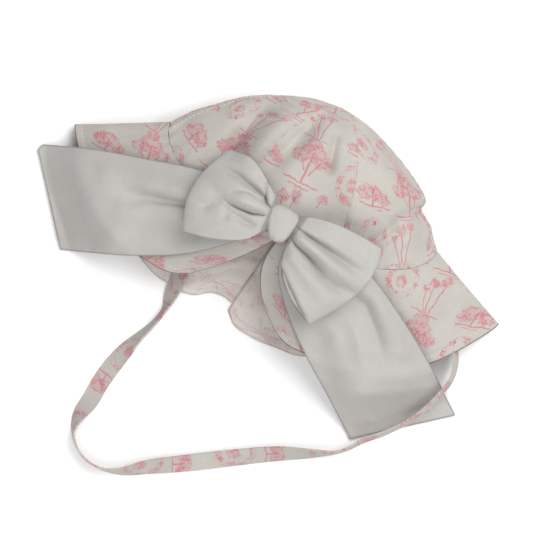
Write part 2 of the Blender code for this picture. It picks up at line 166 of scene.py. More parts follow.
@dataclass(frozen=True)
class Ripples:
    """Soft irregular waves, the same ones for the same seed."""

    seed: int
    wavelength: float
    height: float
    waves: int = 9
    shortest: float = 0.6
    spread: float = 0.9

    def at(self, x: Array, y: Array) -> Array:
        """Read the waves.

        Args:
            x: Places along the first axis, in metres.
            y: Places along the second axis, in metres.

        Returns:
            The height at each place, in metres.
        """
        draw = np.random.default_rng(self.seed)
        total = np.zeros(np.broadcast(x, y).shape)
        for turn, phase, stretch in draw.random((self.waves, 3)):
            angle = 2 * math.pi * turn
            length = self.wavelength * (self.shortest + self.spread * stretch)
            way = (x * math.cos(angle) + y * math.sin(angle)) / length
            total += np.sin(2 * math.pi * (way + phase))
        return total * self.height / math.sqrt(self.waves)


@dataclass
class LaidCloth:
    """How high the cloth laid so far reaches, on a square grid seen from above."""

    reach: float = 0.32
    cell: float = 0.00125
    slope: float = 0.75
    inset: float = 1.001
    top: Array = field(init=False)

    def __post_init__(self) -> None:
        """Start with the bare surface."""
        count = int(2 * self.reach / self.cell)
        self.top = np.zeros((count, count))

    def places(self, x: Array, y: Array) -> tuple[Array, Array]:
        """The grid's own coordinates of places in metres."""
        limit = len(self.top) - self.inset
        first, second = (np.clip((v + self.reach) / self.cell, 0, limit) for v in (x, y))
        return first, second

    def add(self, surface: Surface, wall: float, grid: tuple[int, int]) -> None:
        """Record a surface.

        Args:
            surface: The middle surface of the cloth.
            wall: Its thickness.
            grid: How many points to take along each side, closer together than a cell.
        """
        points = surface(*even_grid(*grid))
        column, row = self.places(points[..., 0], points[..., 1])
        place = (np.rint(column).astype(int).ravel(), np.rint(row).astype(int).ravel())
        np.maximum.at(self.top, place, points[..., 2].ravel() + wall / 2)

    def heights(self, ease: float) -> Height:
        """Bridge and round the cloth's steps.

        Args:
            ease: How far a step is rounded.

        Returns:
            A function that gives the height at places in metres.
        """
        soft = self.top
        fall = self.slope * self.cell
        for _ in range(int(soft.max() / fall)):
            for axis in (0, 1):
                beside = np.maximum(np.roll(soft, 1, axis), np.roll(soft, -1, axis))
                soft = np.maximum(soft, beside - fall)
        count = max(1, round(ease / self.cell))
        shifts = range(-count, count + 1)
        for fold in (np.maximum.reduce, lambda layers: np.mean(layers, axis=0)):
            for axis in (0, 1):
                soft = fold([np.roll(soft, s, axis) for s in shifts])

        def read(x: Array, y: Array) -> Array:
            """The height at places in metres."""
            column, row = self.places(x, y)
            i, j = column.astype(int), row.astype(int)
            s, t = column - i, row - j
            near = soft[i, j] * (1 - s) + soft[i + 1, j] * s
            far = soft[i, j + 1] * (1 - s) + soft[i + 1, j + 1] * s
            return near * (1 - t) + far * t

        return read


def even_grid(columns: int, rows: int) -> tuple[Array, Array]:
    """Two arrays of shares from 0 to 1 over a grid."""
    first, second = np.meshgrid(np.linspace(0, 1, columns), np.linspace(0, 1, rows), indexing="ij")
    return first, second


@dataclass(frozen=True)
class HatForm:
    """The sizes of the crown and the brim, and the surfaces that they give."""

    cloth: float = 1.4 * MM
    ring_half_width: float = 0.095
    ring_back_drop: float = 0.036
    ring_front_drop: float = 0.028
    ring_back_height: float = 0.050
    ring_ear_height: float = 0.022
    ring_front_height: float = 0.0025
    crown_rise: float = 0.056
    brim_width: float = 0.066
    flap_height: float = 0.029
    split_curl: float = 0.007
    left_curl: float = -0.4
    curl_power: int = 6
    sag_end: float = 0.999
    pinch_fade: float = 0.10
    gores: int = 6
    ring_steps: int = 1440

    # up, width, rise, drop, depth: how the crown closes from the ring to its top point.
    crown_sections = (
        (0.00, 1.000, 0.000, 1.00, 1.00),
        (0.15, 0.935, 0.220, 0.76, 1.15),
        (0.30, 0.840, 0.400, 0.47, 1.22),
        (0.50, 0.660, 0.620, 0.20, 1.14),
        (0.70, 0.420, 0.820, 0.05, 0.86),
        (0.85, 0.215, 0.945, 0.00, 0.48),
        (1.00, 0.000, 1.000, 0.00, 0.00),
    )
    # x, y, reach and height along each fold in the back of the crown: places and reaches in shares
    # of the ring's half width, heights in shares of the back's height.
    crown_folds = (
        ((-0.42, 0.52, 0.070, -0.110), (-0.49, 0.30, 0.085, -0.190), (-0.57, 0.02, 0.075, -0.190)),
        ((-0.32, 0.36, 0.065, 0.070), (-0.40, 0.04, 0.065, 0.075)),
        ((-0.09, 0.53, 0.050, -0.080), (-0.16, 0.32, 0.070, -0.150), (-0.24, 0.08, 0.070, -0.120)),
        ((0.05, 0.38, 0.035, -0.070), (0.10, 0.18, 0.040, -0.105)),
        ((-0.06, -0.05, 0.024, -0.030), (-0.03, -0.13, 0.024, -0.045)),
        ((0.18, 0.24, 0.070, 0.030), (0.40, -0.02, 0.080, 0.040)),
        ((0.67, 0.05, 0.055, -0.110), (0.78, 0.21, 0.060, -0.140)),
        ((0.60, 0.08, 0.030, 0.030), (0.72, 0.25, 0.035, 0.050)),
        ((0.74, -0.10, 0.040, 0.055), (0.86, 0.12, 0.040, 0.065)),
        ((0.58, -0.13, 0.022, -0.050), (0.66, 0.02, 0.030, -0.060)),
        ((0.63, -0.12, 0.018, 0.030), (0.70, 0.00, 0.020, 0.030)),
        ((0.70, -0.10, 0.020, -0.040), (0.74, 0.01, 0.022, -0.040)),
    )
    # x, y, reach and share of the width of the pinches in the crown's outline, in the same shares.
    crown_pinches = (
        (0.85, 0.185, 0.080, 0.110),
        (0.98, 0.04, 0.170, 0.045),
        (-0.80, 0.24, 0.240, 0.065),
    )
    # round, out, down, height of the brim's outer edge, from the split at the back to the front.
    brim_right_edge = (
        (0.00, 0.15, 0.66, 0.98),
        (0.05, 0.26, 0.87, 1.00),
        (0.12, 0.30, 0.93, 1.00),
        (0.20, 0.42, 0.91, 0.96),
        (0.30, 0.55, 0.86, 0.86),
        (0.40, 0.67, 0.67, 0.62),
        (0.46, 0.78, 0.47, 0.38),
        (0.50, 0.87, 0.34, 0.20),
        (0.54, 0.77, 0.50, 0.08),
        (0.60, 0.65, 0.66, 0.03),
        (0.70, 0.50, 0.85, 0.00),
        (0.80, 0.32, 0.98, 0.00),
        (0.86, 0.20, 1.11, 0.00),
        (0.90, 0.13, 1.12, 0.00),
        (0.95, 0.00, 1.12, 0.00),
        (0.98, -0.10, 1.08, 0.00),
        (1.00, -0.14, 0.98, 0.00),
    )
    brim_left_edge = (
        (0.00, 0.62, 0.68, 0.92),
        (0.05, 0.64, 0.77, 0.94),
        (0.12, 0.66, 0.79, 0.95),
        (0.20, 0.64, 0.77, 0.92),
        (0.30, 0.63, 0.72, 0.84),
        (0.40, 0.68, 0.60, 0.62),
        (0.46, 0.78, 0.46, 0.38),
        (0.50, 0.85, 0.40, 0.20),
        (0.54, 0.77, 0.52, 0.08),
        (0.60, 0.65, 0.66, 0.03),
        (0.70, 0.48, 0.84, 0.00),
        (0.80, 0.43, 0.97, 0.00),
        (0.88, 0.42, 1.02, 0.00),
        (0.94, 0.29, 0.99, 0.00),
        (0.965, 0.25, 0.90, 0.00),
        (0.98, 0.20, 0.88, 0.00),
        (1.00, 0.13, 0.90, 0.00),
    )

    def ring_at(self, angle: Array) -> Array:
        """The ring's points at angles round it: 0 is the centre back and pi the centre front."""
        turn = np.cos(angle)
        drop = np.where(turn > 0, self.ring_back_drop, self.ring_front_drop)
        middle = (self.ring_back_height + self.ring_front_height) / 2
        swing = (self.ring_back_height - self.ring_front_height) / 2
        lift = (middle - self.ring_ear_height) / 2
        height = middle - lift + swing * turn + lift * np.cos(2 * angle)
        return np.stack([self.ring_half_width * np.sin(angle), -drop * abs(turn), height], -1)

    def ring_table(self) -> tuple[Array, Array]:
        """The angles round the ring and the length along it up to each of them."""
        angles = np.linspace(0, 2 * math.pi, self.ring_steps + 1)
        return angles, lengths_along(self.ring_at(angles))

    def ring_length(self) -> float:
        """The length round the ring."""
        return float(self.ring_table()[1][-1])

    def ring_angle(self, share: Array) -> Array:
        """The angle at a share of the ring's length from the centre back towards +X."""
        angles, along = self.ring_table()
        whole = np.floor(share)
        return np.interp((share - whole) * along[-1], along, angles) + 2 * math.pi * whole

    def crown_width(self, up: Array) -> Array:
        """The crown's share of the ring's width at a share of the way to the top."""
        return smooth_rows(self.crown_sections, up)[..., 0]

    def crown_point(self, share: Array, up: Array) -> Array:
        """The crown's middle surface.

        Args:
            share: Shares of the ring's length from the centre back.
            up: Shares of the way from the ring to the top point.

        Returns:
            The points.
        """
        ring = self.ring_at(self.ring_angle(share))
        width, rise, drop, depth = np.moveaxis(smooth_rows(self.crown_sections, up), -1, 0)
        x = ring[..., 0] * width
        y = ring[..., 1] * drop + self.crown_rise * rise
        z = self.ring_ear_height + (ring[..., 2] - self.ring_ear_height) * depth
        span = self.ring_back_height - self.ring_ear_height
        back = np.clip((z - self.ring_ear_height) / span, 0, 1)
        wide, high = self.ring_half_width, self.ring_back_height
        z = z + fold_heights(self.crown_folds, x, y, wide) * high * back
        narrow, fade = np.ones(x.shape), np.clip(up / self.pinch_fade, 0, 1)
        for pinch_x, pinch_y, reach, pinch in self.crown_pinches:
            away = np.hypot(x / wide - pinch_x, y / wide - pinch_y) / reach
            narrow = narrow - pinch * np.exp(-(away**2)) * fade
        x = x * narrow
        return np.stack([x, y, np.maximum(z, self.cloth / 2)], -1)

    def brim_point(self, side: Side, round_share: Array, reach: Array) -> Array:
        """The middle surface of one half of the brim.

        Args:
            side: Which half.
            round_share: Shares of the half ring from the split at the back to the front seam.
            reach: Shares of the way from the ring to the outer edge.

        Returns:
            The points.
        """
        edge = self.brim_right_edge if side is Side.RIGHT else self.brim_left_edge
        ring = self.ring_at(self.ring_angle(side.value * round_share / 2))
        out, down, height = np.moveaxis(smooth_rows(edge, round_share), -1, 0)
        floor = self.cloth / 2
        x = ring[..., 0] + side.value * out * self.brim_width * reach
        y = ring[..., 1] - down * self.brim_width * reach
        edge_z = floor + height * self.flap_height
        z = ring[..., 2] + (edge_z - ring[..., 2]) * reach
        back = np.clip(1 - 2 * round_share, 0, 1)
        curl = self.split_curl * (1 if side is Side.RIGHT else self.left_curl)
        x = x - curl * np.sin(math.pi * reach) * back**self.curl_power
        front = np.clip(2 * round_share - 1, 0, 1)
        sag = np.sin(math.pi * np.minimum(reach, self.sag_end) / 2) ** 0.5
        z = z - (z - floor) * front**0.5 * sag * (reach < 1)
        return np.stack([x, y, np.maximum(z, floor)], -1)


def offset(
    points: Array,
    surface: Surface,
    a: Array,
    b: Array,
    height: Array,
    step: float = 0.004,
    wraps: bool = False,
) -> Array:
    """Move points along the normal of their surface.

    Args:
        points: The points.
        surface: The surface that they lie on.
        a: Their first coordinate on it.
        b: Their second coordinate on it.
        height: How far to move each one.
        step: How far to each side the normal is measured, in both coordinates.
        wraps: Whether the first coordinate goes round. Otherwise it is held between 0 and 1 for the
            normal, and points more than a step outside that range don't move.

    Returns:
        The moved points.
    """
    ahead, behind = a + step, a - step
    if not wraps:
        ahead, behind = np.clip(ahead, 0, 1), np.clip(behind, 0, 1)
    along = surface(ahead, b) - surface(behind, b)
    over = surface(a, np.clip(b + step, 0, 1)) - surface(a, np.clip(b - step, 0, 1))
    normal = np.cross(along, over)
    normal /= np.maximum(np.linalg.norm(normal, axis=-1, keepdims=True), TINY)
    return points + normal * height[..., None]


class Wiring:
    """Adds and joins the nodes of one node tree."""

    def __init__(self, tree: bpy.types.NodeTree) -> None:
        """Keep the tree."""
        self.tree = tree

    def node(self, kind: str, **settings: object) -> bpy.types.Node:
        """Add a node.

        Args:
            kind: The node's type name.
            settings: Its properties.

        Returns:
            The node.
        """
        made = self.tree.nodes.new(kind)
        for name, value in settings.items():
            setattr(made, name, value)
        return made

    def feed(self, socket: Socket, value: object) -> None:
        """Join a socket to another one, or set its value."""
        if isinstance(value, bpy.types.NodeSocket):
            self.tree.links.new(value, socket)
        elif value is not None:
            socket.default_value = value

    def math(self, operation: str, a: object, b: object = None, clamp: bool = False) -> Socket:
        """Work out a number."""
        made = self.node("ShaderNodeMath", operation=operation, use_clamp=clamp)
        self.feed(made.inputs[0], a)
        self.feed(made.inputs[1], b)
        return made.outputs[0]

    def vector(self, operation: str, a: object, b: object = None) -> Socket:
        """Work out a vector, or the length of one."""
        made = self.node("ShaderNodeVectorMath", operation=operation)
        self.feed(made.inputs[0], a)
        self.feed(made.inputs[1], b)
        return made.outputs["Value" if operation == "LENGTH" else "Vector"]

    def ramp(self, value: object, low: float, high: float, start: float = 0.0, end: float = 1.0) -> Socket:
        """Turn a value smoothly from one number into another between two limits."""
        made = self.node("ShaderNodeMapRange", interpolation_type="SMOOTHSTEP")
        for socket, given in zip(made.inputs, (value, low, high, start, end)):
            self.feed(socket, given)
        return made.outputs[0]

    def noise(self, place: object, scale: float, detail: float = 2.0) -> bpy.types.Node:
        """Add a noise texture at a place."""
        made = self.node("ShaderNodeTexNoise")
        self.feed(made.inputs["Vector"], place)
        made.inputs["Scale"].default_value = scale
        made.inputs["Detail"].default_value = detail
        return made

    def mix(self, factor: object, a: object, b: object, blend: str = "MIX") -> Socket:
        """Mix two colours."""
        made = self.node("ShaderNodeMix", data_type="RGBA", blend_type=blend)
        for socket, value in zip(COLOUR_MIX_INPUTS, (factor, a, b)):
            self.feed(made.inputs[socket], value)
        return made.outputs[COLOUR_MIX_RESULT]

    def bump(self, height: object, distance: float, strength: float, normal: object = None) -> Socket:
        """Turn a height into a normal."""
        made = self.node("ShaderNodeBump")
        made.inputs["Strength"].default_value = strength
        made.inputs["Distance"].default_value = distance
        self.feed(made.inputs["Height"], height)
        self.feed(made.inputs["Normal"], normal)
        return made.outputs[0]


def new_group(name: str, sockets: Sequence[tuple[str, str, str]]) -> bpy.types.NodeTree:
    """Start a shader node group.

    Args:
        name: The group's name.
        sockets: Name, direction and type of each of its sockets.

    Returns:
        The group, with its input and output nodes.
    """
    tree = bpy.data.node_groups.new(name, "ShaderNodeTree")
    for label, way, kind in sockets:
        tree.interface.new_socket(label, in_out=way, socket_type=kind)
    tree.nodes.new("NodeGroupInput")
    tree.nodes.new("NodeGroupOutput")
    return tree


@dataclass(frozen=True)
class GardenPrint:
    """A one-colour line print of trees, bushes, saplings and leaf garlands, in a half-drop repeat.

    Lengths are in millimetres of cloth.
    """

    name: str = "garden_print"
    across: float = 56.0
    along: float = 62.0
    # x, y, half width and half height of the leaf clumps.
    clumps = (
        (-15.0, 21.0, 8.5, 6.0),
        (-22.0, 16.5, 5.5, 4.2),
        (-7.5, 17.0, 6.5, 4.6),
        (-16.5, 28.0, 5.0, 3.2),
        (13.5, -21.0, 7.5, 4.6),
        (20.5, -23.5, 4.8, 3.6),
        (7.5, -24.0, 5.0, 3.2),
        (-20.5, -9.5, 3.8, 3.0),
        (-13.0, -6.5, 3.4, 2.8),
        (-25.0, -15.0, 2.6, 2.2),
        (3.0, -3.0, 3.6, 2.0),
    )
    # x and y of the foot, x and y of the head, and half width of the stems and ground lines.
    stems = (
        (-14.0, 1.0, -14.5, 20.0, 0.85),
        (-11.5, 6.0, -8.0, 16.0, 0.45),
        (-16.0, 8.0, -20.5, 15.0, 0.45),
        (-17.0, -30.0, -20.5, -9.0, 0.45),
        (-15.0, -30.0, -13.0, -7.0, 0.45),
        (-18.5, -30.0, -25.0, -15.0, 0.35),
        (13.0, -29.0, 13.5, -21.0, 0.70),
        (2.0, -8.0, 3.0, -3.0, 0.40),
    )
    ground = (
        (-26.0, 0.6, -3.0, 0.0, 0.45),
        (-22.0, -1.8, -7.0, -2.2, 0.35),
        (-26.0, -30.5, -8.0, -31.0, 0.45),
        (4.0, -29.6, 25.0, -28.8, 0.50),
        (8.0, -31.4, 20.0, -31.0, 0.35),
    )
    # x, y, half width and half height of the garland and of the bloom inside it.
    garland = (16.0, 13.0, 8.5, 11.5)
    bloom = (16.0, 11.5, 3.4, 4.4)
    # The garland's two drawn lines, in shares of its size, and half their width.
    garland_lines = (1.16, 0.86)
    garland_line_half: float = 0.018
    garland_fall: float = 5.0
    # Where a stroke and a garland's line start and end fading, in shares of half their width.
    stroke_edge = (0.35, 1.25)
    line_edge = (0.6, 1.8)
    stroke_ink: float = 0.9
    line_ink: float = 0.45
    # How fine and how wide the hand's unsteadiness is.
    leafy_hand = (0.42, 7.5)
    line_hand = (0.16, 3.2)
    leaf_scale: float = 0.78
    bare: float = 9.0

    def oval(self, wire: Wiring, place: Socket, row: Sequence[float], grow: float = 1.0) -> Socket:
        """How far a place is from the middle of an oval: 1 on its rim."""
        x, y, half_x, half_y = row
        off = wire.vector("SUBTRACT", place, (x, y, 0))
        return wire.vector("LENGTH", wire.vector("MULTIPLY", off, (1 / half_x / grow, 1 / half_y / grow, 0)))

    def segment(self, wire: Wiring, place: Socket, row: Sequence[float]) -> Socket:
        """How dark a stroke is: 1 on its middle and 0 past its half width."""
        x0, y0, x1, y1, half = row
        length = math.hypot(x1 - x0, y1 - y0)
        way = ((x1 - x0) / length, (y1 - y0) / length)
        start = wire.vector("SUBTRACT", place, (x0, y0, 0))
        along = wire.node("ShaderNodeVectorMath", operation="DOT_PRODUCT")
        wire.feed(along.inputs[0], start)
        along.inputs[1].default_value = (way[0] / length, way[1] / length, 0)
        held = wire.math("MULTIPLY", along.outputs["Value"], 1.0, clamp=True)
        foot = wire.node("ShaderNodeVectorMath", operation="SCALE")
        foot.inputs[0].default_value = (x1 - x0, y1 - y0, 0)
        wire.feed(foot.inputs["Scale"], held)
        away = wire.vector("LENGTH", wire.vector("SUBTRACT", start, foot.outputs[0]))
        near, far = (half * share for share in self.stroke_edge)
        return wire.ramp(away, near, far, 1.0, 0.0)

    def build(self) -> bpy.types.NodeTree:
        """Make the group, which gives how much ink lies at a place of the cloth.

        Returns:
            The group.
        """
        sockets = (("Cloth", "INPUT", "NodeSocketVector"), ("Ink", "OUTPUT", "NodeSocketFloat"))
        tree = new_group(self.name, sockets)
        wire = Wiring(tree)
        given = tree.nodes["Group Input"].outputs["Cloth"]
        place = wire.vector("SCALE", given)
        place.node.inputs["Scale"].default_value = PER_METRE
        split = wire.node("ShaderNodeSeparateXYZ")
        wire.feed(split.inputs[0], place)
        across = wire.math("DIVIDE", split.outputs[0], self.across)
        column = wire.math("FLOOR", across)
        shift = wire.math("MULTIPLY", wire.math("FLOORED_MODULO", column, 2.0), 0.5)
        along = wire.math("ADD", wire.math("DIVIDE", split.outputs[1], self.along), shift)
        own_x = wire.math("MULTIPLY", wire.math("SUBTRACT", wire.math("FRACT", across), 0.5), self.across)
        own_y = wire.math("MULTIPLY", wire.math("SUBTRACT", wire.math("FRACT", along), 0.5), self.along)
        join = wire.node("ShaderNodeCombineXYZ")
        wire.feed(join.inputs[0], own_x)
        wire.feed(join.inputs[1], own_y)
        local = join.outputs[0]

        def shaken(scale: float, size: float) -> Socket:
            """The local place moved about, as an engraver's hand moves."""
            grain = wire.noise(place, scale).outputs["Color"]
            moved = wire.vector("SUBTRACT", grain, (0.5, 0.5, 0.5))
            flat = wire.vector("MULTIPLY", moved, (size, size, 0))
            return wire.vector("ADD", local, flat)

        leafy, drawn = shaken(*self.leafy_hand), shaken(*self.line_hand)

        nearest: object = self.bare
        for row in self.clumps:
            nearest = wire.math("MINIMUM", nearest, self.oval(wire, leafy, row))
        ring = wire.math("SUBTRACT", self.oval(wire, leafy, self.garland), 1.0)
        ring = wire.math("MULTIPLY", wire.math("ABSOLUTE", ring), self.garland_fall)
        gaps = wire.ramp(wire.noise(place, 0.20, 0.0).outputs["Fac"], 0.42, 0.58, 0.15, 0.95)
        nearest = wire.math("MINIMUM", nearest, wire.math("ADD", ring, gaps))
        nearest = wire.math("MINIMUM", nearest, self.oval(wire, leafy, self.bloom))
        mass = wire.ramp(nearest, 0.86, 1.04, 1.0, 0.0)
        rim = wire.ramp(wire.math("ABSOLUTE", wire.math("SUBTRACT", nearest, 0.90)), 0.05, 0.20, 0.55, 0.0)

        leaf = wire.node("ShaderNodeTexVoronoi", feature="DISTANCE_TO_EDGE")
        wire.feed(leaf.inputs["Vector"], place)
        leaf.inputs["Scale"].default_value = self.leaf_scale
        veins = wire.ramp(leaf.outputs["Distance"], 0.05, 0.24, 0.95, 0.12)
        shade = wire.ramp(wire.noise(place, 0.22, 1.0).outputs["Fac"], 0.38, 0.62, 0.40, 1.15)
        leaves = wire.math("MULTIPLY", mass, wire.math("MULTIPLY", veins, shade))
        ink = wire.math("MAXIMUM", leaves, rim)

        near, far = (self.garland_line_half * share for share in self.line_edge)
        for grow in self.garland_lines:
            line = wire.math("SUBTRACT", self.oval(wire, drawn, self.garland, grow), 1.0)
            line = wire.ramp(wire.math("ABSOLUTE", line), near, far, self.line_ink, 0.0)
            ink = wire.math("MAXIMUM", ink, line)
        for row in self.stems + self.ground:
            stroke = wire.math("MULTIPLY", self.segment(wire, drawn, row), self.stroke_ink)
            ink = wire.math("MAXIMUM", ink, stroke)
        wear = wire.ramp(wire.noise(place, 1.6, 1.0).outputs["Fac"], 0.25, 0.6, 0.50, 1.0)
        wire.feed(tree.nodes["Group Output"].inputs["Ink"], wire.math("MULTIPLY", ink, wear, clamp=True))
        return tree


@dataclass(frozen=True)
class PlainWeave:
    """The crossing threads of a plain cotton, with their slubs and a soft unevenness."""

    name: str = "plain_weave"
    threads_per_mm: float = 2.4
    slub_scale: float = 0.9
    tone_scale: float = 0.035
    slub_stretches = ((0.25, 3.0, 1.0), (3.0, 0.25, 1.0))

    def build(self) -> bpy.types.NodeTree:
        """Make the group, which gives the height of the threads, their slubs and a slow tone.

        Returns:
            The group.
        """
        sockets = (
            ("Cloth", "INPUT", "NodeSocketVector"),
            ("Height", "OUTPUT", "NodeSocketFloat"),
            ("Slub", "OUTPUT", "NodeSocketFloat"),
            ("Tone", "OUTPUT", "NodeSocketFloat"),
        )
        tree = new_group(self.name, sockets)
        wire = Wiring(tree)
        place = wire.vector("SCALE", tree.nodes["Group Input"].outputs["Cloth"])
        place.node.inputs["Scale"].default_value = PER_METRE
        split = wire.node("ShaderNodeSeparateXYZ")
        wire.feed(split.inputs[0], place)
        pitch = 2 * math.pi * self.threads_per_mm / 2
        waves = [
            wire.math("SINE", wire.math("MULTIPLY", split.outputs[axis], pitch)) for axis in (0, 1)
        ]
        height = wire.math("MULTIPLY", waves[0], waves[1])
        slubs = []
        for stretch in self.slub_stretches:
            pulled = wire.vector("MULTIPLY", place, stretch)
            slubs.append(wire.noise(pulled, self.slub_scale, 1.0).outputs["Fac"])
        slub = wire.math("MULTIPLY", wire.math("ADD", slubs[0], slubs[1]), 0.5)
        tone = wire.noise(place, self.tone_scale, 2.0).outputs["Fac"]
        out = tree.nodes["Group Output"].inputs
        for label, value in (("Height", height), ("Slub", slub), ("Tone", tone)):
            wire.feed(out[label], value)
        return tree


@dataclass(frozen=True)
class CottonFinish:
    """A cotton cloth, plain or printed."""

    name: str
    ground: tuple[float, float, float, float]
    shade: tuple[float, float, float, float]
    ink: tuple[float, float, float, float] | None = None
    ink_strength: float = 1.0
    roughness: float = 0.88
    sheen: float = 0.12
    sheen_roughness: float = 0.5
    specular: float = 0.25
    # Painted shade along free edges: near an open edge the colour drops to this tone, full within the first
    # distance and fading out by the second. It stands in for the thin shadow where a cloth edge meets what
    # lies below it.
    edge_shade_tone: float = 0.62
    shade_full_within: float = 0.4 * MM
    shade_gone_beyond: float = 1.1 * MM

    def material(self, weave: bpy.types.NodeTree, pattern: bpy.types.NodeTree | None) -> bpy.types.Material:
        """Make the material.

        Args:
            weave: The group of the threads.
            pattern: The group of the print, where there is one.

        Returns:
            The material.
        """
        made = bpy.data.materials.new(self.name)
        made.use_nodes = True
        made.diffuse_color = self.ground
        wire = Wiring(made.node_tree)
        shader = made.node_tree.nodes["Principled BSDF"]
        shader.inputs["Sheen Weight"].default_value = self.sheen
        shader.inputs["Sheen Roughness"].default_value = self.sheen_roughness
        shader.inputs["Specular IOR Level"].default_value = self.specular
        cloth = wire.node("ShaderNodeUVMap", uv_map="cloth").outputs[0]
        threads = wire.node("ShaderNodeGroup", node_tree=weave)
        wire.feed(threads.inputs["Cloth"], cloth)
        tone = wire.ramp(threads.outputs["Tone"], 0.35, 0.65)
        colour = wire.mix(tone, self.shade, self.ground)
        slub = wire.ramp(threads.outputs["Slub"], 0.35, 0.65, 0.92, 1.0)
        # Painted shade: darken the colour near a free edge, read from the edge attribute.
        edge = wire.node("ShaderNodeAttribute", attribute_name="edge").outputs["Fac"]
        rim = wire.ramp(edge, self.shade_full_within, self.shade_gone_beyond, self.edge_shade_tone, 1.0)
        slub = wire.math("MULTIPLY", slub, rim)
        join = wire.node("ShaderNodeCombineColor")
        for socket in join.inputs:
            wire.feed(socket, slub)
        colour = wire.mix(1.0, colour, join.outputs[0], "MULTIPLY")
        if pattern is not None and self.ink is not None:
            drawn = wire.node("ShaderNodeGroup", node_tree=pattern)
            wire.feed(drawn.inputs["Cloth"], cloth)
            amount = wire.math("MULTIPLY", drawn.outputs["Ink"], self.ink_strength)
            colour = wire.mix(amount, colour, self.ink)
        wire.feed(shader.inputs["Base Color"], colour)
        rough = wire.ramp(threads.outputs["Slub"], 0.3, 0.7, self.roughness - 0.06, self.roughness + 0.04)
        wire.feed(shader.inputs["Roughness"], rough)
        fine = wire.bump(threads.outputs["Height"], 0.06 * MM, 0.35)
        slubby = wire.bump(threads.outputs["Slub"], 0.25 * MM, 0.30, fine)
        wire.feed(shader.inputs["Normal"], slubby)
        return made


@dataclass(frozen=True)
class ThreadFinish:
    """Twisted sewing thread."""

    name: str = "sewing_thread"
    colour: tuple[float, float, float, float] = (0.66, 0.61, 0.56, 1.0)
    darkening: float = 0.8
    grain_scale: float = 2600.0

    def material(self) -> bpy.types.Material:
        """Make the material."""
        made = bpy.data.materials.new(self.name)
        made.use_nodes = True
        wire = Wiring(made.node_tree)
        shader = made.node_tree.nodes["Principled BSDF"]
        shader.inputs["Sheen Weight"].default_value = 0.3
        place = wire.node("ShaderNodeTexCoord").outputs["Object"]
        grain = wire.noise(place, self.grain_scale, 1.0).outputs["Fac"]
        darker = tuple(self.darkening * part for part in self.colour[:3]) + (1.0,)
        wire.feed(shader.inputs["Base Color"], wire.mix(grain, darker, self.colour))
        wire.feed(shader.inputs["Roughness"], wire.ramp(grain, 0.3, 0.7, 0.6, 0.75))
        wire.feed(shader.inputs["Normal"], wire.bump(grain, 0.05 * MM, 0.4))
        return made


@dataclass
class Wardrobe:
    """The finishes, made once and shared by the pieces."""

    printed: bpy.types.Material
    printed_inside: bpy.types.Material
    bow: bpy.types.Material
    # The two rim finishes are dark painted shade for the cut edges of the cloth.
    printed_edge: bpy.types.Material
    bow_edge: bpy.types.Material
    thread: bpy.types.Material

    @classmethod
    def cut(cls) -> "Wardrobe":
        """Make every finish.

        Returns:
            The finishes.
        """
        weave = PlainWeave().build()
        pattern = GardenPrint().build()
        pink = (0.450, 0.125, 0.170, 1.0)
        outer = CottonFinish(
            name="ivory_print_outer",
            ground=(0.462, 0.436, 0.398, 1.0),
            shade=(0.425, 0.402, 0.368, 1.0),
            ink=pink,
            edge_shade_tone=0.32,
        )
        # The lining's ground is brighter than the outer side's: painted light that lifts the shaded inside
        # of the front brim. Its weaker ink is the print's own, and its edges take less painted shade.
        inner = CottonFinish(
            name="ivory_print_lining",
            ground=(0.690, 0.640, 0.600, 1.0),
            shade=(0.645, 0.598, 0.560, 1.0),
            ink=pink,
            ink_strength=0.36,
            edge_shade_tone=0.72,
        )
        bow = CottonFinish("white_bow_cotton", (0.434, 0.424, 0.402, 1.0), (0.412, 0.392, 0.374, 1.0))
        # Dark rim finishes: mostly painted shade, for the thin shadow line along the cut edges, and partly
        # the rim's own darker look.
        printed_edge = CottonFinish("print_rim_painted_shade", (0.24, 0.16, 0.16, 1.0), (0.19, 0.13, 0.13, 1.0))
        bow_edge = CottonFinish("bow_rim_painted_shade", (0.34, 0.33, 0.32, 1.0), (0.28, 0.27, 0.26, 1.0))
        return cls(
            printed=outer.material(weave, pattern),
            printed_inside=inner.material(weave, pattern),
            bow=bow.material(weave, None),
            printed_edge=printed_edge.material(weave, None),
            bow_edge=bow_edge.material(weave, None),
            thread=ThreadFinish().material(),
        )


def activate(piece: bpy.types.Object) -> None:
    """Select one object alone and make it the active one."""
    bpy.ops.object.select_all(action="DESELECT")
    piece.select_set(True)
    bpy.context.view_layer.objects.active = piece


def write_map(mesh: bpy.types.Mesh, flat: Array, edge: Array) -> None:
    """Write the flat pattern's coordinates as the UV map, and each point's distance from a free edge.

    Args:
        mesh: The mesh.
        flat: The flat place of each of its points.
        edge: The distance of each point, by which the finish paints shade near the free edges.
    """
    while mesh.uv_layers:
        mesh.uv_layers.remove(mesh.uv_layers[0])
    layer = mesh.uv_layers.new(name="cloth")
    corner = np.zeros(len(mesh.loops), int)
    mesh.loops.foreach_get("vertex_index", corner)
    layer.data.foreach_set("uv", flat[corner].ravel())
    mesh.attributes.new("edge", "FLOAT", "POINT").data.foreach_set("value", edge)


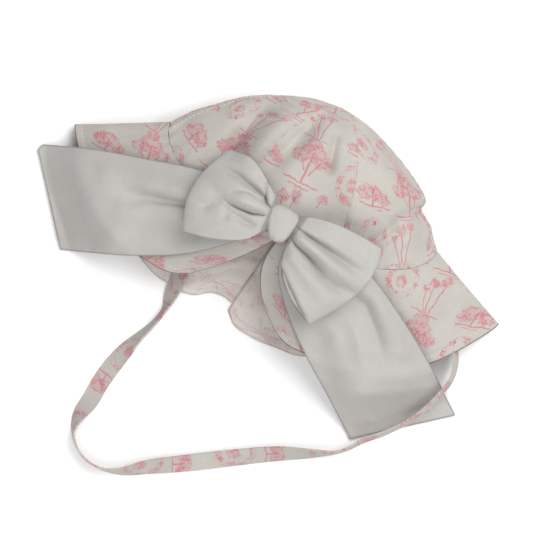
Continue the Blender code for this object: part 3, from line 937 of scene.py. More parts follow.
@dataclass
class ClothPiece:
    """A piece of cloth laid on a surface, with its wall, flat pattern and finish.

    The four marks of free tell which borders are open edges, with painted shade along them: where a is 0 and
    1, and where b is 0 and 1.
    """

    name: str
    nodes: Sequence[str]
    surface: Surface
    flat: Surface
    cells: tuple[int, int]
    wall: float
    slot: Slot
    outer: bpy.types.Material
    # The rim's finish: for the brim and the bow, a dark painted shade.
    edge: bpy.types.Material
    inner: bpy.types.Material | None = None
    pole: bool = False
    free: tuple[bool, bool, bool, bool] = (True, True, True, True)
    weld: float = 0.02 * MM

    def make(self) -> bpy.types.Object:
        """Shape the grid, give it its wall and its finish, and tie it to the frame.

        Returns:
            The finished object.
        """
        bpy.ops.object.select_all(action="DESELECT")
        bpy.ops.mesh.primitive_grid_add(
            x_subdivisions=self.cells[0], y_subdivisions=self.cells[1], size=2, location=(0, 0, 0)
        )
        piece = bpy.context.active_object
        piece.name = piece.data.name = self.name
        mesh = piece.data
        at = np.zeros(len(mesh.vertices) * 3)
        mesh.vertices.foreach_get("co", at)
        shares = np.clip((at.reshape(-1, 3)[:, :2] + 1) / 2, 0, 1)
        places = self.surface(shares[:, 0], shares[:, 1])
        mesh.vertices.foreach_set("co", places.ravel())
        self.map_cloth(mesh, shares)
        if self.pole:
            self.close_pole(piece)
        for finish in (self.outer, self.inner, self.edge):
            if finish is not None:
                mesh.materials.append(finish)
        self.give_wall(piece)
        bpy.ops.object.shade_smooth_by_angle(angle=SMOOTH_ANGLE)
        for node in self.nodes:
            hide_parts(node)
        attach(piece, BODY)
        log.info("%s: %d faces", self.name, len(mesh.polygons))
        return piece

    def map_cloth(self, mesh: bpy.types.Mesh, shares: Array) -> None:
        """Work out each point's flat place and its distance from the nearest free border."""
        a, b = shares[:, 0], shares[:, 1]
        flat = self.flat(a, b)[:, :2]
        borders = ((a * 0, b), (a * 0 + 1, b), (a, b * 0), (a, b * 0 + 1))
        away = np.ones(len(a))
        for border, free in zip(borders, self.free):
            if free:
                away = np.minimum(away, np.linalg.norm(flat - self.flat(*border)[:, :2], axis=-1))
        write_map(mesh, flat, away)

    def close_pole(self, piece: bpy.types.Object) -> None:
        """Join the row of points that meet in one."""
        activate(piece)
        bpy.ops.object.mode_set(mode="EDIT")
        bpy.ops.mesh.select_all(action="SELECT")
        bpy.ops.mesh.remove_doubles(threshold=self.weld)
        bpy.ops.object.mode_set(mode="OBJECT")

    def give_wall(self, piece: bpy.types.Object) -> None:
        """Thicken the sheet, with its lining side in the second material."""
        activate(piece)
        shell = piece.modifiers.new("wall", "SOLIDIFY")
        shell.thickness = self.wall
        shell.offset = 0
        shell.material_offset = 1 if self.inner is not None else 0
        # The rim takes the edge finish, which for the brim and the bow is a dark painted shade.
        shell.material_offset_rim = shell.material_offset + 1
        bpy.ops.object.modifier_apply(modifier=shell.name)


@dataclass(frozen=True)
class StitchRow:
    """A row of sewing stitches on a line over a surface."""

    name: str
    lines: Sequence[Array]
    normals: Sequence[Array]
    pitch: float = 2.9 * MM
    length: float = 2.1 * MM
    radius: float = 0.28 * MM
    cuts_round: int = 6
    cuts_along: int = 5

    def make(self, thread: bpy.types.Material) -> bpy.types.Object:
        """Copy one stitch along every line and join the copies.

        Args:
            thread: The finish.

        Returns:
            The finished object.
        """
        bpy.ops.object.select_all(action="DESELECT")
        bpy.ops.mesh.primitive_uv_sphere_add(
            segments=self.cuts_round, ring_count=self.cuts_along, radius=1, location=(0, 0, 0)
        )
        pattern = bpy.context.active_object
        shape = np.array([v.co for v in pattern.data.vertices])
        faces = [tuple(p.vertices) for p in pattern.data.polygons]
        bpy.data.objects.remove(pattern, do_unlink=True)
        points: list[Array] = []
        sides: list[tuple[int, ...]] = []
        for line, normal in zip(self.lines, self.normals):
            along = lengths_along(line)
            count = max(1, int(along[-1] / self.pitch))
            at = (np.arange(count) + 0.5) * along[-1] / count
            middle = read_line(at, along, line)
            ahead = read_line(at + self.pitch / 4, along, line)
            up = read_line(at, along, normal)
            for centre, front, high in zip(middle, ahead, up):
                way = Vector(front - centre).normalized()
                rise = Vector(high).normalized()
                side = way.cross(rise).normalized()
                deep = side.cross(way) * self.radius
                turn = np.array([way * (self.length / 2), side * self.radius, deep])
                base = len(points) * len(shape)
                points.append(centre + shape @ turn)
                sides += [tuple(base + i for i in face) for face in faces]
        mesh = bpy.data.meshes.new(self.name)
        mesh.from_pydata(np.concatenate(points).tolist(), [], sides)
        mesh.materials.append(thread)
        piece = bpy.data.objects.new(self.name, mesh)
        bpy.context.scene.collection.objects.link(piece)
        activate(piece)
        bpy.ops.object.mode_set(mode="EDIT")
        bpy.ops.mesh.select_all(action="SELECT")
        bpy.ops.mesh.normals_make_consistent(inside=False)
        bpy.ops.object.mode_set(mode="OBJECT")
        bpy.ops.object.shade_smooth()
        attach(piece, BODY)
        log.info("%s: %d stitches", self.name, len(points))
        return piece


def line_on(surface: Surface, a: Array, b: Array, lift: float) -> tuple[Array, Array]:
    """A line over a surface and the surface's normals along it.

    Args:
        surface: The surface.
        a: The line's first coordinate on it.
        b: The line's second coordinate on it.
        lift: How far above the surface the line lies; below zero is below.

    Returns:
        The line's points and its normals.
    """
    flat = surface(a, b)
    raised = offset(flat, surface, a, b, np.full(len(a), lift))
    return raised, (raised - flat) / lift * abs(lift) / lift


@dataclass
class Crown:
    """Six gores from the ring to the top point, puckered along their seams."""

    form: HatForm
    wardrobe: Wardrobe
    height: float = 0.118
    seam_dip: float = 0.28 * MM
    seam_reach: float = 1.6 * MM
    pucker: float = 0.14 * MM
    pucker_pitch: float = 6.5 * MM
    pucker_fade: float = 5.0 * MM
    fell: float = 5.0 * MM
    fell_rise: float = 0.35 * MM
    gather: float = 0.52 * MM
    gather_pitch: float = 7.5 * MM
    gather_fade: float = 9.0 * MM
    fell_soft: float = 0.3 * MM
    seam_sway: float = 6.0
    gore_phase: float = 2.1
    gore_shift: float = 0.31
    ring_sway: float = 5.0
    gather_share: float = 0.7
    gather_swing: float = 0.5
    top_calm: float = 3.0
    pucker_calm: float = 2.0
    seam_calm: float = 12.0 * MM
    normal_step: float = 0.003
    seam_drift: Ripples = Ripples(11, 0.020, 0.25)
    ring_drift: Ripples = Ripples(5, 0.045, 0.6)
    gather_drift: Ripples = Ripples(7, 0.08, 1.0)
    softness: Ripples = Ripples(3, 0.040, 0.45 * MM)
    pattern_start: float = 0.017
    pattern_step: tuple[float, float] = (0.0415, 0.0290)
    stitch_lift: float = 0.1 * MM
    stitch_inset: float = 0.8 * MM
    ring_stitch_rise: float = 2.6 * MM
    ring_stitches: tuple[float, float] = (-0.249, 0.249)
    seam_stitches: tuple[float, float] = (0.03, 0.80)
    line_points: tuple[int, int] = (400, 200)
    cells: tuple[int, int] = (64, 100)
    names: Sequence[str] = (
        "crown_back",
        "crown_back_right",
        "crown_front_right",
        "crown_front",
        "crown_front_left",
        "crown_back_left",
    )

    def relief(self, share: Array, up: Array) -> Array:
        """How far the cloth stands out from the smooth crown.

        Args:
            share: Shares of the ring's length.
            up: Shares of the way to the top.

        Returns:
            The relief in metres, outwards.
        """
        form = self.form
        width = form.crown_width(up)
        around = form.ring_length() * width
        seam = (share * form.gores + 0.5) % 1.0
        away = np.minimum(seam, 1 - seam) / form.gores * around
        number = np.floor(share * form.gores + 0.5)
        high = up * self.height
        slow = self.seam_drift.at(high, number * self.gore_shift)
        phase = slow * self.seam_sway + number * self.gore_phase
        seam_wave = np.sin(2 * math.pi * high / self.pucker_pitch + phase)
        relief = -self.seam_dip * np.exp(-((away / self.seam_reach) ** 2))
        calm = np.clip(width * self.pucker_calm, 0, 1)
        relief += self.pucker * seam_wave * np.exp(-away / self.pucker_fade) * calm
        beside = np.where(seam < 0.5, away, -away)
        start, end = -beside / self.fell_soft, (beside - self.fell) / self.fell_soft
        edges = 1 / (1 + np.exp(start)) / (1 + np.exp(end))
        relief += self.fell_rise * edges
        along = share * form.ring_length()
        wander = self.ring_drift.at(along, along * 0)
        ring_wave = np.sin(2 * math.pi * along / self.gather_pitch + self.ring_sway * wander)
        strength = self.gather_share + self.gather_swing * self.gather_drift.at(along, along * 0)
        relief += self.gather * strength * ring_wave * np.exp(-high / self.gather_fade)
        relief -= self.seam_dip * np.exp(-((high / self.seam_reach) ** 2))
        softly = self.softness.at(along * width, high)
        softly = softly * np.clip(away / self.seam_calm, 0, 1) * np.clip(width * self.top_calm, 0, 1)
        return relief + softly

    def point(self, share: Array, up: Array) -> Array:
        """The finished cloth's middle surface."""
        surface = self.form.crown_point
        relief = self.relief(share, up)
        moved = offset(surface(share, up), surface, share, up, relief, self.normal_step, wraps=True)
        moved[..., 2] = np.maximum(moved[..., 2], self.form.cloth / 2)
        return moved

    def gore(self, number: int) -> tuple[Surface, Surface]:
        """The surface and the flat pattern of one gore."""
        form = self.form
        half = 0.5 / form.gores

        def place(a: Array, b: Array) -> Array:
            """A point of the gore."""
            return self.point(number / form.gores + half * np.sin(math.pi * (a - 0.5)), b)

        def flat(a: Array, b: Array) -> Array:
            """A point of its flat pattern, each gore cut from its own place of the print."""
            wide = form.ring_length() * half * form.crown_width(b)
            aside, onward = (number * step for step in self.pattern_step)
            x = np.sin(math.pi * (a - 0.5)) * wide + self.pattern_start + aside
            return np.stack([x, b * self.height + onward], -1)

        return place, flat

    def build(self) -> None:
        """Make the gores, and the stitches along the ring's seam and beside the seams of the gores."""
        for number, name in enumerate(self.names):
            place, flat = self.gore(number)
            ClothPiece(
                name=f"{name}_cloth",
                nodes=(name,),
                surface=place,
                flat=flat,
                cells=self.cells,
                wall=self.form.cloth,
                slot=Slot.PRINT,
                outer=self.wardrobe.printed,
                inner=self.wardrobe.printed_inside,
                edge=self.wardrobe.printed,
                pole=True,
                free=(False, False, False, False),
            ).make()
        # Where shares are below 0, line_on finds no normals and the stitches have no thickness.
        lift = self.form.cloth / 2 + self.stitch_lift
        ring_points, seam_points = self.line_points
        share = np.linspace(*self.ring_stitches, ring_points)
        rise = np.full(ring_points, self.ring_stitch_rise / self.height)
        rows = [line_on(self.point, share, rise, lift)]
        up = np.linspace(*self.seam_stitches, seam_points)
        for number in range(self.form.gores):
            around = self.form.ring_length() * self.form.crown_width(up)
            share = (number - 0.5) / self.form.gores + (self.fell - self.stitch_inset) / around
            rows.append(line_on(self.point, share, up, lift))
        lines, normals = zip(*rows)
        StitchRow("crown_stitches", lines, normals).make(self.wardrobe.thread)


@dataclass
class Brim:
    """Two halves of the brim, open at the back, with their hems."""

    form: HatForm
    wardrobe: Wardrobe
    cells: tuple[int, int] = (230, 56)
    hem: float = 5.0 * MM
    hem_rise: float = 0.45 * MM
    flat_radius: float = 0.107
    gather: float = 0.50 * MM
    gather_pitch: float = 8.5 * MM
    gather_fade: float = 12.0 * MM
    ring_gap: float = 0.25 * MM
    hem_soft: float = 0.35 * MM
    hem_dip: float = 0.4 * MM
    hem_dip_reach: float = 0.7 * MM
    ring_calm: float = 10.0 * MM
    ring_sway: float = 5.0
    stitch_lift: float = 0.05 * MM
    hem_stitches: tuple[float, float] = (0.02, 0.98)
    line_points: int = 500
    # Where each half is cut from the printed cloth.
    pattern_x = {Side.LEFT: 0.052, Side.RIGHT: 0.021}
    pattern_y: float = 0.033

    def point(self, side: Side, a: Array, b: Array) -> Array:
        """The finished cloth's middle surface."""
        form = self.form
        start = self.ring_gap / form.brim_width
        reach = start + (1 - start) * b
        smooth = form.brim_point(side, a, reach)
        along = a * form.ring_length() / 2
        out = reach * form.brim_width
        edge = (1 - reach) * form.brim_width
        hem = self.hem_rise / (1 + np.exp((edge - self.hem) / self.hem_soft))
        dip = -self.hem_dip * np.exp(-(((edge - self.hem) / self.hem_dip_reach) ** 2))
        wander = Ripples(seed=21 + side.value, wavelength=0.05, height=0.5).at(along, along * 0)
        wave = np.sin(2 * math.pi * along / self.gather_pitch + self.ring_sway * wander)
        gathers = self.gather * wave * np.exp(-out / self.gather_fade)
        soft = Ripples(seed=31 + side.value, wavelength=0.045, height=0.7 * MM)
        soft = soft.at(along * (1 + out / self.flat_radius), out)
        fade = np.clip(out / self.ring_calm, 0, 1)
        lift = hem + dip + gathers + soft * fade
        moved = smooth + np.array([0, 0, 1.0]) * lift[..., None]
        moved[..., 2] = np.maximum(moved[..., 2], form.cloth / 2)
        return moved

    def flat(self, side: Side, a: Array, b: Array) -> Array:
        """A point of the flat pattern, a sector of a ring."""
        radius = self.flat_radius + b * self.form.brim_width
        angle = side.value * a * self.form.ring_length() / 2 / self.flat_radius
        x = radius * np.sin(angle) + self.pattern_x[side]
        return np.stack([x, -radius * np.cos(angle) + self.pattern_y], -1)

    def build(self) -> None:
        """Make the two halves and the stitches of their hems."""
        lines, normals = [], []
        for side in Side:
            name = f"brim_{side.name.lower()}"
            right = side is Side.RIGHT

            def place(a: Array, b: Array, side: Side = side, right: bool = right) -> Array:
                """A point of this half, run so that its outer side faces out."""
                return self.point(side, 1 - a if right else a, b)

            def flat(a: Array, b: Array, side: Side = side, right: bool = right) -> Array:
                """A point of this half's flat pattern."""
                return self.flat(side, 1 - a if right else a, b)

            ClothPiece(
                name=f"{name}_cloth",
                nodes=(name,),
                surface=place,
                flat=flat,
                cells=self.cells,
                wall=self.form.cloth,
                slot=Slot.PRINT,
                outer=self.wardrobe.printed,
                inner=self.wardrobe.printed_inside,
                # The brim's rim takes the dark finish: painted shade along its edges.
                edge=self.wardrobe.printed_edge,
                free=(True, True, False, True),
            ).make()
            along = np.linspace(*self.hem_stitches, self.line_points)
            hem = np.full(self.line_points, 1 - self.hem / self.form.brim_width)
            for face in (1, -1):
                line, normal = line_on(place, along, hem, face * (self.form.cloth / 2 + self.stitch_lift))
                lines.append(line)
                normals.append(normal)
        StitchRow("hem_stitches", lines, normals).make(self.wardrobe.thread)


@dataclass(frozen=True)
class BowForm:
    """The sizes of the bow."""

    cloth: float = 1.2 * MM
    lay_gap: float = 0.3 * MM
    knot_x: float = -0.002
    knot_y: float = -0.026
    knot_length: float = 0.020
    knot_width: float = 0.021
    knot_depth: float = 0.019
    knot_waist: float = 0.92
    knot_tuck: float = 1.2 * MM
    tail_length: float = 0.153
    tail_width: float = 0.070
    tail_left_cut: float = 0.024
    tail_cut_start: float = 0.90
    tail_cut_fade: float = 0.10
    tail_table_width: float = 0.47
    loop_length: float = 0.048
    loop_width: float = 0.070
    loop_puff: float = 0.0085
    loop_pinch: float = 0.0022
    loop_droop: float = 0.010
    loop_belly: float = 0.22
    loop_band: float = 2.2

    # along, x_a, y_a, x_b, y_b: the two long edges of each tail from the knot's side.
    tail_left_edges = (
        (0.00, 0.000, 0.030, 0.000, -0.065),
        (0.15, -0.140, 0.060, -0.080, -0.150),
        (0.35, -0.350, 0.046, -0.225, -0.280),
        (0.60, -0.595, -0.013, -0.415, -0.390),
        (0.80, -0.810, -0.072, -0.580, -0.460),
        (1.00, -1.040, -0.154, -0.745, -0.522),
    )
    tail_right_edges = (
        (0.00, 0.000, 0.020, 0.000, -0.075),
        (0.15, 0.140, 0.006, 0.015, -0.185),
        (0.35, 0.350, -0.033, 0.090, -0.300),
        (0.60, 0.565, -0.137, 0.260, -0.455),
        (0.80, 0.755, -0.255, 0.420, -0.570),
        (1.00, 0.968, -0.412, 0.602, -0.705),
    )
    # along, x_a, y_a, x_b, y_b: the upper and lower edges of each loop from the knot's side.
    loop_left_edges = (
        (0.00, 0.000, 0.25, 0.000, -0.25),
        (0.30, -0.250, 0.52, -0.190, -0.60),
        (0.60, -0.530, 0.76, -0.510, -0.82),
        (1.00, -0.860, 0.76, -0.950, -0.97),
    )
    loop_right_edges = (
        (0.00, 0.000, 0.22, 0.000, -0.26),
        (0.30, 0.310, 0.34, 0.090, -0.80),
        (0.60, 0.660, 0.39, 0.340, -1.18),
        (1.00, 1.130, 0.35, 0.710, -1.47),
    )
    # x, y, reach and height along each fold, seen from above from the middle of the knot: places and
    # reaches in shares of the tail's or the loop's length, heights in millimetres.
    tail_left_folds = (
        (
            (-0.36, -0.052, 0.042, 4.8),
            (-0.48, -0.084, 0.044, 7.0),
            (-0.57, -0.104, 0.048, 6.0),
            (-0.74, -0.13, 0.06, 2.4),
        ),
        ((-0.39, -0.160, 0.050, 3.2), (-0.62, -0.235, 0.060, 2.2)),
        (
            (-0.36, -0.100, 0.013, -5.4),
            (-0.47, -0.134, 0.014, -6.4),
            (-0.56, -0.160, 0.022, -3.6),
            (-0.66, -0.21, 0.05, -1.0),
        ),
        ((-0.84, -0.10, 0.100, 6.0), (-0.64, -0.35, 0.095, 5.5)),
        ((-0.97, -0.20, 0.055, -1.4), (-0.84, -0.34, 0.055, -4.8), (-0.72, -0.45, 0.050, -4.0)),
        ((-0.98, -0.28, 0.050, 0.8), (-0.86, -0.47, 0.050, 1.8)),
        ((-0.30, -0.26, 0.045, 1.8), (-0.58, -0.38, 0.050, 2.4)),
    )
    tail_right_folds = (
        ((0.34, -0.06, 0.050, 3.6), (0.505, -0.135, 0.050, 7.0), (0.66, -0.27, 0.060, 4.0)),
        ((0.27, -0.26, 0.050, 3.6), (0.41, -0.32, 0.060, 7.5), (0.56, -0.50, 0.075, 4.5)),
        (
            (0.36, -0.17, 0.034, -2.6),
            (0.45, -0.190, 0.042, -8.0),
            (0.51, -0.26, 0.050, -7.5),
            (0.60, -0.39, 0.060, -3.0),
        ),
        ((0.62, -0.50, 0.028, 1.4), (0.86, -0.36, 0.028, 1.4)),
        ((0.69, -0.56, 0.024, -1.4), (0.91, -0.43, 0.024, -1.4)),
    )
    loop_left_folds = (
        (
            (-1.06, 0.28, 0.050, -0.9),
            (-0.78, 0.27, 0.055, -4.2),
            (-0.58, 0.225, 0.055, -6.3),
            (-0.38, 0.175, 0.040, -5.7),
            (-0.27, 0.09, 0.028, -3.6),
        ),
        ((-0.42, 0.34, 0.026, -1.8), (-0.34, 0.16, 0.024, -3.0)),
        (
            (-0.79, -0.03, 0.050, 1.2),
            (-0.62, 0.01, 0.078, 3.9),
            (-0.43, 0.02, 0.070, 3.9),
            (-0.28, 0.03, 0.045, 1.8),
        ),
        ((-0.78, 0.06, 0.020, -0.6), (-0.60, 0.125, 0.022, -1.8), (-0.31, 0.105, 0.020, -2.4)),
        (
            (-0.82, -0.09, 0.022, -0.9),
            (-0.63, -0.105, 0.026, -3.9),
            (-0.43, -0.095, 0.026, -5.1),
            (-0.28, -0.045, 0.022, -3.0),
        ),
        ((-1.26, -0.27, 0.070, -0.9), (-1.02, -0.25, 0.090, -2.7), (-0.90, -0.14, 0.080, -1.5)),
        ((-0.76, -0.16, 0.050, -0.8), (-0.72, -0.28, 0.060, -1.7)),
        ((-0.66, -0.20, 0.050, -1.5), (-0.50, -0.22, 0.060, -3.3), (-0.34, -0.23, 0.045, -2.7)),
    )
    loop_right_folds = (
        (
            (0.20, 0.00, 0.024, -1.7),
            (0.41, -0.04, 0.038, -4.8),
            (0.72, -0.086, 0.058, -5.6),
            (0.99, -0.133, 0.075, -5.0),
            (1.27, -0.175, 0.085, -3.1),
        ),
        ((0.28, -0.11, 0.045, 2.2), (0.70, -0.20, 0.070, 3.4), (1.02, -0.29, 0.090, 1.7)),
        (
            (0.14, -0.11, 0.024, -1.7),
            (0.28, -0.215, 0.034, -4.5),
            (0.53, -0.29, 0.046, -6.2),
            (0.77, -0.41, 0.068, -6.4),
            (0.96, -0.475, 0.080, -5.6),
            (1.21, -0.47, 0.085, -3.4),
        ),
        ((0.30, -0.38, 0.060, 1.7), (0.60, -0.52, 0.090, 3.1), (0.95, -0.70, 0.120, 2.0)),
        (
            (0.26, -0.57, 0.022, -1.7),
            (0.42, -0.72, 0.026, -3.1),
            (0.67, -0.92, 0.028, -3.4),
            (0.88, -1.06, 0.026, -2.2),
        ),
    )

    def knot_side(self, side: Side) -> float:
        """Where a tail or loop leaves the knot."""
        return self.knot_x + side.value * (self.knot_waist * self.knot_length / 2 - self.knot_tuck)

    def strip(self, edges: Sequence[Sequence[float]], along: Array) -> tuple[Array, ...]:
        """The middle and the half span of a strip between its two edges."""
        x_a, y_a, x_b, y_b = np.moveaxis(smooth_rows(edges, along), -1, 0)
        return (x_a + x_b) / 2, (y_a + y_b) / 2, (x_a - x_b) / 2, (y_a - y_b) / 2


@dataclass
class Bow:
    """The bow: two tails laid over the hat, two loops and the knot."""

    form: BowForm
    wardrobe: Wardrobe
    over_hat: Height
    tail_cells: tuple[int, int] = (90, 190)
    loop_cells: tuple[int, int] = (110, 200)
    lay_grid: tuple[int, int] = (160, 300)
    lean_slack: float = 1.15
    pleat_height: float = 1.1 * MM
    pleat_turn: float = 9.0
    pleat_start: float = 0.6
    pleat_fade: float = 0.10
    seam_dip: float = 0.25 * MM
    seam_reach: float = 0.6 * MM
    tail_lift: float = 0.6 * MM
    tail_calm: float = 6.0
    tail_soft: float = 1.0 * MM
    loop_round: float = 0.6
    loop_swell: tuple[float, float] = (0.8, 0.72)
    loop_thin: float = 0.12
    loop_turn: float = 1.6
    loop_clear: float = 2.0
    loop_soft: float = 0.8 * MM
    loop_seat: float = 0.30
    loop_ease: float = 2.5 * MM
    knot_cuts: int = 1
    knot_levels: int = 3
    knot_taper: tuple[float, float] = (0.58, 1.20)
    knot_height: float = 0.68
    knot_swell: float = 0.10
    knot_stretch: float = 1.06
    knot_slant: float = 0.14
    knot_shift: tuple[float, float] = (0.05, 0.12)
    crease_reach: float = 0.05
    # depth, place along the knot, swing and phase of its creases.
    knot_creases = ((0.030, 0.20, 0.06, 0.0), (0.040, -0.20, -0.10, 1.0))

    def tail_point(self, side: Side, a: Array, b: Array) -> Array:
        """A point of a tail: a runs between its long edges and b from the knot to its end."""
        form = self.form
        left = side is Side.LEFT
        edges = form.tail_left_edges if left else form.tail_right_edges
        folds = form.tail_left_folds if left else form.tail_right_folds
        aside = 2 * a - 1
        cut = form.tail_left_cut if left else 0.0
        end = b * (1 - cut * np.clip((aside - form.tail_cut_start) / form.tail_cut_fade, 0, 1))
        middle_x, middle_y, half_x, half_y = form.strip(edges, end)
        spread = aside * form.tail_width / (form.tail_table_width * form.tail_length)
        x = form.knot_side(side) + (middle_x + half_x * spread) * form.tail_length
        y = form.knot_y + (middle_y + half_y * spread) * form.tail_length
        base = self.over_hat(x, y) + form.lay_gap + self.lean_slack * form.cloth / 2
        relief = fold_heights(folds, x - form.knot_x, y - form.knot_y, form.tail_length) * MM
        pleats = np.cos(aside * self.pleat_turn + self.pleat_start)
        pleats = self.pleat_height * pleats * np.exp(-b / self.pleat_fade)
        soft = Ripples(seed=41 + side.value, wavelength=0.050, height=0.40 * MM).at(x, y)
        from_edge = (1 - abs(aside)) * form.tail_width / 2
        seam = -self.seam_dip * np.exp(-((from_edge / self.seam_reach) ** 2))
        lift = relief + pleats + soft * np.clip(b * self.tail_calm, 0, 1) + self.tail_lift
        z = base + (lift + np.hypot(lift, self.tail_soft)) / 2 + seam
        return np.stack([x, y, z], -1)

    def loop_point(self, side: Side, over: Height, seat: float, a: Array, b: Array) -> Array:
        """A point of a loop: a runs across the band and b from the knot over the top and back."""
        form = self.form
        left = side is Side.LEFT
        edges = form.loop_left_edges if left else form.loop_right_edges
        folds = form.loop_left_folds if left else form.loop_right_folds
        turn = math.pi * b
        along = np.sin(turn) ** self.loop_round
        middle_x, middle_y, half_x, half_y = form.strip(edges, along)
        aside = 2 * a - 1
        x = (middle_x + half_x * aside) * (1 + form.loop_belly * (1 - aside**2) * along**2)
        y = middle_y + half_y * aside
        x = form.knot_side(side) + form.loop_length * x
        y = form.knot_y + form.loop_width / 2 * y
        power, stretch = self.loop_swell
        swell = np.sin(math.pi * along**power * stretch)
        puff = form.loop_pinch + (form.loop_puff - form.loop_pinch) * swell
        puff = puff * (1 - self.loop_thin * aside**2)
        laid = over(x, y) + form.lay_gap + self.lean_slack * form.cloth / 2
        base = np.maximum(laid, seat - form.loop_droop * along)
        upper = np.cos(turn)
        relief = fold_heights(folds, x - form.knot_x, y - form.knot_y, form.loop_length) * MM
        relief = relief + Ripples(seed=51 + side.value, wavelength=0.024, height=0.30 * MM).at(x, y)
        on_top = np.clip(upper * self.loop_turn, 0, 1)
        z = base + puff * (1 + upper) + relief * on_top
        clear = base + self.loop_clear * form.cloth * on_top
        over_clear = z - clear
        rounded = clear + (over_clear + np.hypot(over_clear, self.loop_soft * on_top)) / 2
        z = np.where(on_top > 0, rounded, z)
        return np.stack([x, y, z], -1)

    def knot(self, seat: float) -> None:
        """Make the knot: a band wrapped round the gathered middle, with its soft creases.

        Args:
            seat: The height that it sits on.
        """
        form = self.form
        bpy.ops.object.select_all(action="DESELECT")
        bpy.ops.mesh.primitive_cube_add(size=1, location=(0, 0, 0))
        piece = bpy.context.active_object
        piece.name = piece.data.name = "bow_knot_cloth"
        bpy.ops.object.mode_set(mode="EDIT")
        bpy.ops.mesh.select_all(action="SELECT")
        bpy.ops.mesh.subdivide(number_cuts=self.knot_cuts)
        bpy.ops.object.mode_set(mode="OBJECT")
        soft = piece.modifiers.new("soft", "SUBSURF")
        soft.levels = soft.render_levels = self.knot_levels
        bpy.ops.object.modifier_apply(modifier=soft.name)
        mesh = piece.data
        at = np.zeros(len(mesh.vertices) * 3)
        mesh.vertices.foreach_get("co", at)
        x, y, z = at.reshape(-1, 3).T
        wrap = np.arctan2(z, y)
        crease = np.zeros(len(x))
        for depth, middle, swing, phase in self.knot_creases:
            away = (x - middle - swing * np.sin(wrap + phase)) / self.crease_reach
            crease += depth * np.exp(-(away**2))
        swell = 1 + self.knot_swell * np.cos(math.pi * x) - crease
        taper = self.knot_taper[0] + (self.knot_taper[1] - self.knot_taper[0]) * (y + 0.5)
        back, down = self.knot_shift
        place = np.stack([
            form.knot_x + (x * taper * self.knot_stretch - self.knot_slant * y - back) * form.knot_length,
            form.knot_y + (y * swell - down) * form.knot_width,
            seat + form.knot_depth * (self.knot_height / 2 + z * self.knot_height * swell),
        ], -1)
        mesh.vertices.foreach_set("co", place.ravel())
        flat = np.stack([x * form.knot_length, wrap * form.knot_width / 2], -1)
        write_map(mesh, flat, np.ones(len(x)))
        mesh.materials.append(self.wardrobe.bow)
        activate(piece)
        bpy.ops.object.shade_smooth()
        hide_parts("bow_knot")
        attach(piece, BODY)
        log.info("bow_knot_cloth: %d faces", len(mesh.polygons))

    def build(self, over_tails: LaidCloth) -> None:
        """Make the bow.

        Args:
            over_tails: The cloth laid so far, to which the tails are added.
        """
        form = self.form
        seat = float(self.over_hat(np.array(form.knot_x), np.array(form.knot_y))) + form.lay_gap
        for side in Side:
            node = f"bow_tail_{side.name.lower()}"
            place: Surface = lambda a, b, s=side: self.tail_point(s, a, b)
            over_tails.add(place, form.cloth, self.lay_grid)
            piece = ClothPiece(
                name=f"{node}_cloth",
                nodes=(node,),
                surface=place,
                flat=lambda a, b: np.stack([a * form.tail_width, b * form.tail_length], -1),
                cells=self.tail_cells,
                wall=form.cloth,
                slot=Slot.BOW,
                outer=self.wardrobe.bow,
                # The tail's rim takes the dark finish: painted shade along its edges.
                edge=self.wardrobe.bow_edge,
            ).make()
        over = over_tails.heights(self.loop_ease)
        band = form.loop_band * form.loop_length
        loop_seat = seat + self.loop_seat * form.knot_depth
        for side in Side:
            node = f"bow_loop_{side.name.lower()}"
            piece = ClothPiece(
                name=f"{node}_cloth",
                nodes=(node,),
                surface=lambda a, b, s=side: self.loop_point(s, over, loop_seat, a, b),
                flat=lambda a, b: np.stack([a * form.loop_width, b * band], -1),
                cells=self.loop_cells,
                wall=form.cloth,
                slot=Slot.BOW,
                outer=self.wardrobe.bow,
                # The loop's rim takes the dark finish: painted shade along its edges.
                edge=self.wardrobe.bow_edge,
            ).make()
        self.knot(seat)


